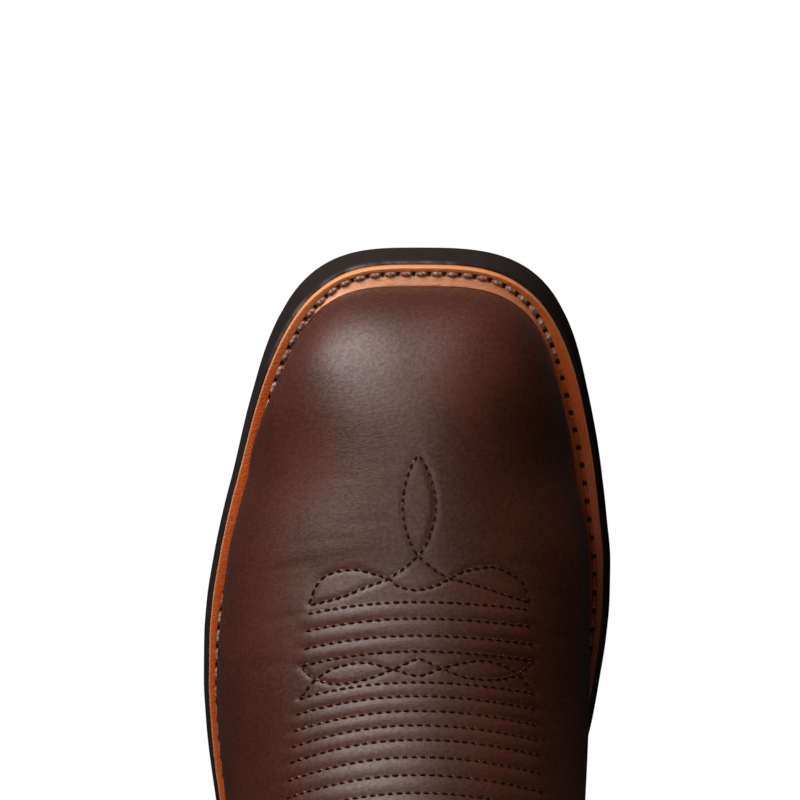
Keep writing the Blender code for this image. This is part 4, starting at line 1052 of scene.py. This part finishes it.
def rubber():
    """Moulded rubber: nearly black, a dull satin skin with fine dust in it, and a pale line on the lip at
    the toe, partly scuffs and partly a painted sheen."""
    made, tree, shader, place = finish("sole rubber")
    dust = noise(tree, place, 2600.0, 3.0)
    slow = placed(tree, DYE, {"Vector": place}).outputs["Tone"]
    colour = blend(tree, slow, (0.017, 0.0112, 0.0090, 1), (0.027, 0.0185, 0.0155, 1))
    colour = blend(tree, ramp(tree, dust, 0.55, 0.8, 0.0, 0.25), colour, (0.036, 0.029, 0.026, 1))
    # pale line on the toe's lip: scuffs and painted sheen
    scuff_and_sheen = add(tree, "ShaderNodeAttribute", attribute_name="scuff_and_sheen").outputs["Fac"]
    patchy = noise(tree, place, 190.0, 3.0)
    scuff_and_sheen = math_node(tree, "MULTIPLY", scuff_and_sheen, ramp(tree, patchy, 0.35, 0.65, 0.15, 1.0))
    colour = blend(tree, scuff_and_sheen, colour, (0.20, 0.165, 0.15, 1))
    rough = math_node(tree, "MULTIPLY_ADD", slow, 0.1, 0.72)
    normal = bumped(tree, dust, 1.0, 0.00006)
    fill(tree, shader, {"Base Color": colour, "Roughness": rough, "Normal": normal})
    fill(tree, shader, {"Specular IOR Level": 0.14})
    return made


def bars(y, across, tread):
    """Depth of the grooves that part the tread's bars: 1 in a groove, 0 on a bar and along the border.
    across is the distance inside the sole's edge."""
    centres = np.linspace(tread["first"], tread["last"], tread["count"])
    apart = np.abs(y[..., None] - centres).min(axis=-1)
    inside = eased((across - tread["border"]) / 0.8)
    return tread["depth"] * eased((tread["width"] / 2 + 0.3 - apart) / 0.6) * inside


def sections_round(sides, under, over, across=45):
    """Closed sections from the levels of a piece's two sides, (level, side, station, 3) from the bottom up:
    under and over turn a share across and the two edge points into the lower and upper faces."""
    share = np.linspace(0, 1, across)[:, None, None]
    low = under(sides[0, 1] + (sides[0, 0] - sides[0, 1]) * share)
    high = over(sides[-1, 0] + (sides[-1, 1] - sides[-1, 0]) * share[::4])
    parts = (low, sides[1:-1, 0], high, sides[-2:0:-1, 1])
    return np.concatenate(parts).transpose(1, 0, 2)


RUBBER = rubber()
levels = []
for inset, down in zip(SOLE_SIDE["inset"], SOLE_SIDE["down"]):
    plan = SOLE - SOLE_OUT * (inset + max(0, 1 - down / FLARE_FOOT) * LEAN)[..., None]
    levels.append(bent(plan[..., 0], plan[..., 1], -down * along(SOLE_THICKNESS, "height", SOLE[..., 1])))


def as_it_is(face):
    """A plain face, flat from edge to edge."""
    return face


def grooved(tread):
    """What cuts a tread's grooves into a lower face."""
    def cut(face):
        inside = np.minimum(face[..., 0] - face[:1, :, 0], face[-1:, :, 0] - face[..., 0])
        face[..., 2] += bars(face[..., 1], inside, tread)
        return face
    return cut


sections = sections_round(np.array(levels), grooved(TREAD), as_it_is)
# pale line on the toe's lip, stronger on the lateral side: scuffs and painted sheen
lip = np.abs(sections[..., 2] - along(SOLE_BED, "height", sections[..., 1])) / 0.3
toe_lip = np.exp(-lip**2) * eased((sections[..., 1] - 272) / 14) * eased((22 - sections[..., 0]) / 22)
piece("rubber_sole", strip(sections, ends=False), [RUBBER], "outsole",
      values={"scuff_and_sheen": toe_lip})

# %% The stacked heel and its lift
HEEL_BREAST, HEEL_PITCH, LIFT_HEIGHT, GAP = 63.0, 4.0, 6.0, 0.3
STACK = {"bottom": 0.78, "inset": 0.9, "layers": 5, "line": 0.28}
LIFT = {"top": 0.8, "bottom": 1.0, "inset": 0.6}
LIFT_SIDE = ((0.5, 0.0), (0.15, 0.12), (0.0, 0.45), (0.0, 5.5), (0.12, 5.85), (0.4, 6.0))
breast = np.interp(HEEL_BREAST, SOLE[0, :, 1], np.arange(SOLE.shape[1]))
heel_rows = np.concatenate([np.arange(int(breast) + 1), [breast]])


def heel_level(inset, share):
    """The heel's plan at a share of its height, leaning forward at the back."""
    plan = SOLE - SOLE_OUT * inset
    index = np.arange(SOLE.shape[1])
    rows = [[np.interp(heel_rows, index, plan[side, :, axis]) for axis in (0, 1)] for side in (0, 1)]
    plan = np.array(rows).transpose(0, 2, 1)
    plan[:, -1, 1] = HEEL_BREAST
    plan[..., 1] += HEEL_PITCH * share * (1 - plan[..., 1] / HEEL_BREAST)
    return plan


def stack_leather():
    """A heel of leather layers, sanded and stained dark, with a line between each two."""
    made, tree, shader, place = finish("heel stack")
    height = add(tree, "ShaderNodeSeparateXYZ", {0: place}).outputs[2]
    fibre = add(tree, "ShaderNodeMapping", {"Vector": place, "Scale": (1.0, 1.0, 9.0)}).outputs[0]
    streak = noise(tree, fibre, 160.0, 4.0)
    layer = math_node(tree, "MULTIPLY", height, 1000 / 4.6)
    layer = math_node(tree, "FLOOR", layer)
    shade = add(tree, "ShaderNodeTexWhiteNoise", {"W": layer}, noise_dimensions="1D")
    shade = math_node(tree, "MULTIPLY", shade.outputs[0], 0.35)
    colour = blend(tree, ramp(tree, streak, 0.3, 0.7), (0.026, 0.011, 0.007, 1), (0.060, 0.028, 0.017, 1))
    colour = blend(tree, shade, colour, (0.085, 0.042, 0.025, 1))
    fill(tree, shader, {"Base Color": colour, "Normal": bumped(tree, streak, 0.6, 0.0001)})
    fill(tree, shader, {"Roughness": 0.42, "Coat Weight": 0.15})
    return made


levels = []
for part in np.linspace(1, 0, 61):
    seam = np.exp(-(((part * STACK["layers"] + 0.5) % 1 - 0.5) / 0.07) ** 2)
    seam = seam if 0.05 < part < 0.95 else 0.0
    plan = heel_level(STACK["inset"] + STACK["line"] * seam, STACK["bottom"] * part)
    thickness = along(SOLE_THICKNESS, "height", plan[..., 1]) + GAP
    under_sole = along(SOLE_BED, "height", plan[..., 1]) - 1.01 * thickness
    levels.append(np.insert(plan, 2, under_sole + (LIFT_HEIGHT + GAP - under_sole) * part, axis=2))
piece("stacked_heel", strip(sections_round(np.array(levels), as_it_is, as_it_is, across=9)),
      [stack_leather()], "heel_block")

levels = []
for inset, z in LIFT_SIDE:
    share = LIFT["bottom"] + (LIFT["top"] - LIFT["bottom"]) * z / LIFT_HEIGHT
    levels.append(np.insert(heel_level(LIFT["inset"] + inset, share), 2, z, axis=2))
piece("heel_lift", strip(sections_round(np.array(levels), grooved(LIFT_TREAD), as_it_is)), [RUBBER],
      "heel_top_lift")

# %% [markdown]
# ## The shaft
#
# Under the vamp and up the leg the upper is one wall of leather with a lining inside. It stands almost
# straight, but where the ankle bends it keeps soft folds. They are given as lines in the side view, each
# a shallow trough with a low swell beside it.

# %% The upper's wall and its lining
WALL = 2.2
FOLDS = {
    "y0": (124, 122, 122, 2, 0, 30), "z0": (150, 172, 194, 112, 134, 125),
    "y1": (70, 76, 86, 38, 30, 62), "z1": (128, 152, 180, 122, 140, 132),
    "depth": (1.1, 1.0, 0.7, 0.9, 0.7, 0.5), "width": (7.0, 6.5, 6.0, 6.5, 6.0, 6.0),
}


def folds(y, z):
    """Depth of the ankle's folds: across each line a bell, with a swell of half its depth on either
    side."""
    depth = np.zeros_like(y)
    for y0, z0, y1, z1, deep, width in zip(*FOLDS.values()):
        span = np.array((y1 - y0, z1 - z0), float)
        t = ((y - y0) * span[0] + (z - z0) * span[1]) / (span @ span)
        apart = np.hypot(y - y0 - t * span[0], z - z0 - t * span[1]) / width
        fade = eased((1.15 - t) / 0.5) * eased((t + 0.35) / 0.3)
        depth += deep * (1 - 0.9 * apart**2) * np.exp(-(apart**2)) * fade
    return depth


side = np.concatenate([np.linspace(0, CROWN_SHARE, 40), np.linspace(CROWN_SHARE, 1, 27)[1:]])
v = both_sides(side)
u = np.concatenate([
    np.linspace(0, 1, 11)[:-1], np.linspace(1, 6, 26)[:-1], np.linspace(6, 8.6, 30)[:-1],
    np.linspace(8.6, 9.6, 26)[:-1], np.linspace(9.6, COLLAR_ROW, 62),
])
u, v = np.meshgrid(u, v, indexing="ij")
points, normal = sheet_on_last(u, v)
dent = folds(points[..., 1], points[..., 2]) * eased((u - 5) / 2)
shaft_outer = lifted(points, normal, -dent)
shaft_inner = lifted(points, normal, -WALL - dent)
both = np.stack([shaft_outer, shaft_inner])
front_faces = (u.shape[0] - 1) * (u.shape[1] - 1)
# painted shade along the shaft's lower edge, towards the sole
piece("shaft_and_lining", wall(shaft_outer, shaft_inner), [SHAFT_LEATHER, LINING], "upper",
      values={"burnish_and_shade": 0.7 * painted_shade_low(both, 6.0)}, inside_from=front_faces)

# %% [markdown]
# ## The heel counter
#
# The counter is a cup of leather sewn round the heel. Seen from the side it has a curved top edge and meets
# the vamp in a seam. Its grid is drawn in those terms: how far round the heel, and how far up between the
# sole and the top edge. The search on the last turns each such place into (u, v).

# %% The cup round the heel
COUNTER_TOP = {"y": (0, 40, 76), "z": (104, 92, 77)}
COUNTER_SEAM = 1.2
HEEL_ROWS, HEEL_SIDES = (5.5, 12.8), {-1: (-1.0, -0.4), 1: (0.4, 1.0)}


def round_the_heel(points):
    """Measures of a place on the heel: the angle round it, from -1 at the lateral seam over 0 at the back
    to 1 at the medial seam, and the height, from 0 at the sole to 1 at the counter's top edge."""
    x, y, z = np.moveaxis(points, -1, 0)
    angle = np.arctan2(x, along(VAMP_EDGE, "y", z) - COUNTER_SEAM - y) / (math.pi / 2)
    bottom = feather_level(y)
    return np.stack([angle, (z - bottom) / (along(COUNTER_TOP, "z", y) - bottom)], axis=-1)


def heel_cup(angle, height):
    """(u, v) for angles and heights round the heel, found on the two sides apart."""
    wanted = np.stack(np.broadcast_arrays(angle, height), axis=-1)
    lateral = wanted[..., 0] < 0
    found = np.zeros(wanted.shape)
    for chosen, sign in ((lateral, -1), (~lateral, 1)):
        at = on_last(round_the_heel, wanted[chosen], HEEL_ROWS, HEEL_SIDES[sign])
        found[chosen] = np.stack(at, axis=-1)
    return found[..., 0], found[..., 1]


angle = np.concatenate([[-1, -0.992], np.linspace(-0.98, 0.98, 141), [0.992, 1]])
height = np.concatenate([np.linspace(0, 0.97, 38), [0.985, 0.994, 1.0]])
u, v = heel_cup(*np.meshgrid(angle, height, indexing="ij"))
points, normal = last_form(u, v), way_out(u, v)
at_back = np.abs(angle) < 1e-9
points[at_back, :, 0], normal[at_back, :, 0] = 0.0, 0.0
normal /= np.linalg.norm(normal, axis=-1, keepdims=True)
edge_in = np.minimum.outer(1 - np.abs(angle), 1 - height)
lift = OVERLAY_GAP + OVERLAY - 0.4 * eased(1 - edge_in / 0.012)
cup_outer, cup_inner = lifted(points, normal, lift), lifted(points, normal, OVERLAY_GAP)
both = np.stack([cup_outer, cup_inner])
# painted shade along the counter's lower edge, towards the sole
piece("counter_cup", wall(cup_outer, cup_inner), [VAMP_LEATHER], "heel_counter",
      values={"burnish_and_shade": 0.8 * painted_shade_low(both, 5.0)})

# %% [markdown]
# ## Piping, collar and pull straps
#
# The side seams of the shaft are covered by a rolled cord of leather, the top edge by a folded strip, and a
# strap on each side loops over the collar to pull the boot on. All three are closed profiles carried along
# a line on the last.

# %% Piping over the side seams
SEAM_LINE = {"z": (70, 120, 275), "y": (71, 66, 64)}
PIPING = {"width": 3.4, "height": 1.8, "edge": 0.6, "from": 90.0, "to": 221.5}


def seen_from_side(points):
    """Places in the side view."""
    return points[..., 1:]


def side_line(sign, z, aside=0.0):
    """A line on the side of the shaft, along its seam or a distance in front of it."""
    wanted = np.stack([along(SEAM_LINE, "y", z) + aside, z], axis=-1)
    v_range = (0.25, 1.0) if sign > 0 else (-1.0, -0.25)
    return laid(*on_last(seen_from_side, wanted, (6.5, COLLAR_ROW), v_range))


seam_runs = []
for name, sign in (("medial", 1), ("lateral", -1)):
    z = np.linspace(PIPING["from"], PIPING["to"], 110)
    path, out = side_line(sign, z)
    ahead = np.gradient(path, axis=0)
    aside = np.cross(ahead, out)
    aside /= np.linalg.norm(aside, axis=1)[:, None]
    turn = np.linspace(0, math.pi, 11)
    taper = eased(np.minimum(z - z[0] + 1.2, z[-1] - z + 1.2) / 3)
    across = np.concatenate([np.cos(turn), (-0.5, 0.5)]) * PIPING["width"] / 2
    above = np.concatenate([PIPING["edge"] + PIPING["height"] * np.sin(turn) ** 0.8, (GAP, GAP)])
    profile = aside[:, None] * across[:, None] + out[:, None] * (above * taper[:, None])[..., None]
    piece(f"piping_cord_{name}", strip(path[:, None] + profile), [SHAFT_LEATHER],
          f"side_piping_{name}", values={"burnish_and_shade": np.zeros(profile.shape[:2])})
    for distance in (-4.0, 4.0):
        seam_runs.append(side_line(sign, np.linspace(PIPING["from"] + 14, PIPING["to"], 160), distance))

# %% The collar's folded strip
BINDING = {"thickness": 1.2, "outside": 9.0, "inside": 7.0}


def below_collar(v, depth):
    """The u at a depth under the collar's edge."""
    part = 0.3
    drop = np.linalg.norm(last_form(COLLAR_ROW, v) - last_form(COLLAR_ROW - part, v), axis=-1)
    return COLLAR_ROW - depth * part / drop


def off_last(u, v, distance, up=0.0):
    """A place at a distance from the last, raised straight up."""
    u, v = np.broadcast_arrays(np.asarray(u, float), np.asarray(v, float))
    out = way_out(np.minimum(u, COLLAR_ROW - 0.01), v)
    seam = np.abs(v) > 0.999
    out[..., 0] = np.where(seam, 0, out[..., 0])
    out /= np.linalg.norm(out, axis=-1, keepdims=True)
    moved = last_form(u, v) + out * np.asarray(distance, float)[..., None]
    moved[..., 0] = np.where(seam, 0, moved[..., 0])
    moved[..., 2] += up
    return moved


v = both_sides(np.linspace(0, 1, 90))[:-1]
thick = BINDING["thickness"]
turn = np.linspace(0, math.pi, 9)
half_wall = WALL / 2 + GAP + thick
outside, inside = below_collar(v, BINDING["outside"]), below_collar(v, BINDING["inside"])
profile = [(outside, GAP, 0), (outside, GAP + 0.8 * thick, 0)]
profile += [(below_collar(v, depth), GAP + thick, 0) for depth in (BINDING["outside"] - 0.6, 6, 3)]
profile += [(COLLAR_ROW, half_wall * math.cos(t) - WALL / 2, GAP + thick * math.sin(t)) for t in turn]
profile += [(below_collar(v, depth), -WALL - GAP - thick, 0) for depth in (3, BINDING["inside"] - 0.6)]
profile += [(inside, -WALL - GAP - 0.8 * thick, 0), (inside, -WALL - GAP, 0)]
profile += [(COLLAR_ROW, -WALL - GAP, GAP), (COLLAR_ROW, GAP, GAP)]
rings = np.stack([off_last(u, v, np.full(len(v), distance), up) for u, distance, up in profile], axis=1)
rings = np.concatenate([rings, rings[:1]])
piece("collar_fold", strip(rings, ends=False), [SHAFT_LEATHER], "collar_binding",
      values={"burnish_and_shade": np.zeros(rings.shape[:2])})

# %% Pull straps
STRAP = {"edges": (0.575, 0.715), "thickness": 2.2, "outside": 52.0, "inside": 40.0}
STRAP_LOOP = {"height": 13.0, "slack": 3.0}
STRAP_LIFT = {"start": 9.0, "end": 1.0, "flat share": 0.7}
STRAP_SEAMS = {"low": 2, "high": 26, "collar": 34}
up = np.array((0.0, 0.0, 1.0))


def strap_line(v):
    """The middle of a strap's thickness, up the outside, over in an arch and down the inside, for each v
    across."""
    half = STRAP["thickness"] / 2
    clear, close = GAP + BINDING["thickness"] + OVERLAY_GAP + half, 2 * OVERLAY_GAP + half
    legs = []
    for length, sign in ((STRAP["outside"], 1), (STRAP["inside"], -1)):
        lift = [BINDING["outside"] + STRAP_LIFT[end] for end in ("start", "end")]
        key = np.array((length, STRAP_LIFT["flat share"] * length, *lift, 0))
        away = np.array((close, close, close, clear, clear))
        if sign < 0:
            away = away + WALL + STRAP_LOOP["slack"] * np.array((0, 0, 0, 0.5, 1))
        depth = np.linspace(length, 0, 34)
        distance = smooth(key[::-1], away[::-1], depth)
        steps = zip(depth, sign * distance)
        legs.append(np.stack([off_last(below_collar(v, d), v, np.full(len(v), a)) for d, a in steps]))
    rise = up * STRAP_LOOP["height"] / 2
    outer, inner = legs[0][-1] + rise, legs[1][-1] + rise
    turn = np.linspace(0, math.pi, 25)[:, None, None]
    arch = (outer + inner) / 2 + (outer - inner) / 2 * np.cos(turn) + rise * np.sin(turn)
    return np.concatenate([legs[0], arch, legs[1][::-1]])


for name, sign in (("medial", 1), ("lateral", -1)):
    v = sign * np.linspace(*STRAP["edges"], 15)
    path = strap_line(v)
    out = np.cross(np.gradient(path, axis=0), np.gradient(path, axis=1)) * sign
    out /= np.linalg.norm(out, axis=-1, keepdims=True)
    edge = np.abs(np.linspace(-1, 1, len(v)))
    thick = STRAP["thickness"] / 2 * (0.35 + 0.65 * (1 - edge**8))
    front, back = path + out * thick[:, None], path - out * thick[:, None]
    ring = np.concatenate([front, back[:, ::-1]], axis=1)
    # the strap's edges are burnished darker
    piece(f"strap_loop_{name}", strip(ring), [SHAFT_LEATHER], f"pull_strap_{name}",
          values={"burnish_and_shade": 0.5 * np.concatenate([edge**6, edge[::-1]**6]) * np.ones((len(ring), 1))})
    outside = slice(STRAP_SEAMS["low"], STRAP_SEAMS["collar"])
    for column in (1, len(v) - 2):
        seam_runs.append((front[outside, column], out[outside, column]))
    for row in (STRAP_SEAMS["low"], STRAP_SEAMS["high"]):
        seam_runs.append((front[row, 1:-1], out[row, 1:-1]))

# %% Sewing the seams
TWIN_SEAM = (2.2, 4.6)
v = both_sides(np.linspace(0, 0.999, 150))
for inward in TWIN_SEAM:
    seam_runs.append(laid(vamp_edge(v, inward), v, OVERLAY_GAP + OVERLAY))


def under_counter_top(points):
    """Angle round the heel, and distance under the counter's top edge."""
    measure = round_the_heel(points)
    measure[..., 1] = along(COUNTER_TOP, "z", points[..., 1]) - points[..., 2]
    return measure


for distance in TWIN_SEAM:
    for sign, v_range in HEEL_SIDES.items():
        angle = sign * np.linspace(0.97, 0.01, 90)
        wanted = np.stack([angle, np.full(90, distance)], axis=1)
        seam_runs.append(laid(*on_last(under_counter_top, wanted, HEEL_ROWS, v_range), OVERLAY_GAP + OVERLAY))
v = np.linspace(-0.999, 0.999, 260)
u = below_collar(v, BINDING["outside"] - 2)
seam_runs.append((off_last(u, v, np.full(len(v), GAP + BINDING["thickness"])), way_out(u, v)))
sew("seam_stitching", seam_runs, VAMP_THREAD, pitch=2.6, fill=0.8, radius=0.34, rise=0.3)
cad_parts["insole"].data.materials.clear()
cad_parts["insole"].data.materials.append(INSOLE)

# %% [markdown]
# ## Floor, light and camera
#
# The boot stands on a pale floor and is seen from straight above, its toe towards the top of the picture.
# One soft light stands low beyond the toe on the lateral side, so the leather shines there and the medial
# side falls into shade. A weaker one above the instep brings out the ridges, and three small ones behind
# keep the heel from going black. The floor shows as plain white to the camera, but throws back only a
# little light, as a real sweep would with its light shaded off the boot.

# %% Floor
def floor_paint():
    """White to the camera, and a grey that throws back little light to everything else."""
    made, tree, shader, _ = finish("floor")
    shader.inputs["Base Color"].default_value = (0.05, 0.05, 0.05, 1)
    shader.inputs["Roughness"].default_value = 0.9
    glow = add(tree, "ShaderNodeEmission", {"Color": (1, 1, 1, 1), "Strength": 1.0})
    seen = add(tree, "ShaderNodeLightPath").outputs["Is Camera Ray"]
    mixed = add(tree, "ShaderNodeMixShader", {0: seen, 1: shader.outputs[0], 2: glow.outputs[0]})
    tree.links.new(mixed.outputs[0], tree.nodes["Material Output"].inputs["Surface"])
    return made


mesh = bpy.data.meshes.new("floor")
reach = 30.0
corners = [(-reach, -reach, 0), (reach, -reach, 0), (reach, reach, 0), (-reach, reach, 0)]
mesh.from_pydata(corners, [], [(0, 1, 2, 3)])
mesh.materials.append(floor_paint())
floor = bpy.data.objects.new("floor", mesh)
bpy.context.scene.collection.objects.link(floor)

# %% Lights
WIDE, NARROW = {"spread": 180}, {"size": 0.12, "spread": 24}
LIGHTS = {
    "key": {"place": (-0.207, 0.485, 0.199), "at": (0.0, 0.09, 0.05), "size": 0.34, "power": 2.8, **WIDE},
    "above": {"place": (-0.04, 0.26, 0.57), "at": (0.0, 0.08, 0.05), "size": 0.20, "power": 0.38, **WIDE},
    "medial heel": {"place": (0.60, -0.38, 0.26), "at": (0.0, -0.15, 0.13), "power": 0.12, **NARROW},
    "lateral heel": {"place": (-0.60, -0.38, 0.26), "at": (0.0, -0.15, 0.13), "power": 0.10, **NARROW},
    "behind": {"place": (0.0, -0.85, 0.12), "at": (0.0, -0.15, 0.14), "power": 0.15, **NARROW},
}


def soft_light(name, place, at, size, power, spread):
    """A square soft box turned to face a point, its beam no wider than a spread in degrees."""
    lamp = bpy.data.lights.new(name, "AREA")
    lamp.size, lamp.energy, lamp.spread = size, power, math.radians(spread)
    made = bpy.data.objects.new(name, lamp)
    made.location = place
    back = made.location - type(made.location)(at)
    made.rotation_euler = back.to_track_quat("Z", "Y").to_euler()
    made.visible_camera = False
    bpy.context.scene.collection.objects.link(made)


for name, light in LIGHTS.items():
    soft_light(name, **light)

world = bpy.data.worlds.new("studio")
world.use_nodes = True
bpy.context.scene.world = world
tree = world.node_tree
AMBIENT = (0.020, 0.014, 0.011)
seen = add(tree, "ShaderNodeLightPath").outputs["Is Camera Ray"]
tree.links.new(blend(tree, seen, (*AMBIENT, 1), (1, 1, 1, 1)), tree.nodes["Background"].inputs["Color"])
bpy.context.scene.view_settings.view_transform = "Standard"

# %% Camera
CAMERA = {"place": (-0.00187, 0.11061, 1.2), "lens": 189.13}
lens = bpy.data.cameras.new("camera")
lens.lens, lens.sensor_width = CAMERA["lens"], 36.0
camera = bpy.data.objects.new("camera", lens)
camera.location = CAMERA["place"]
bpy.context.scene.collection.objects.link(camera)
bpy.context.scene.camera = camera
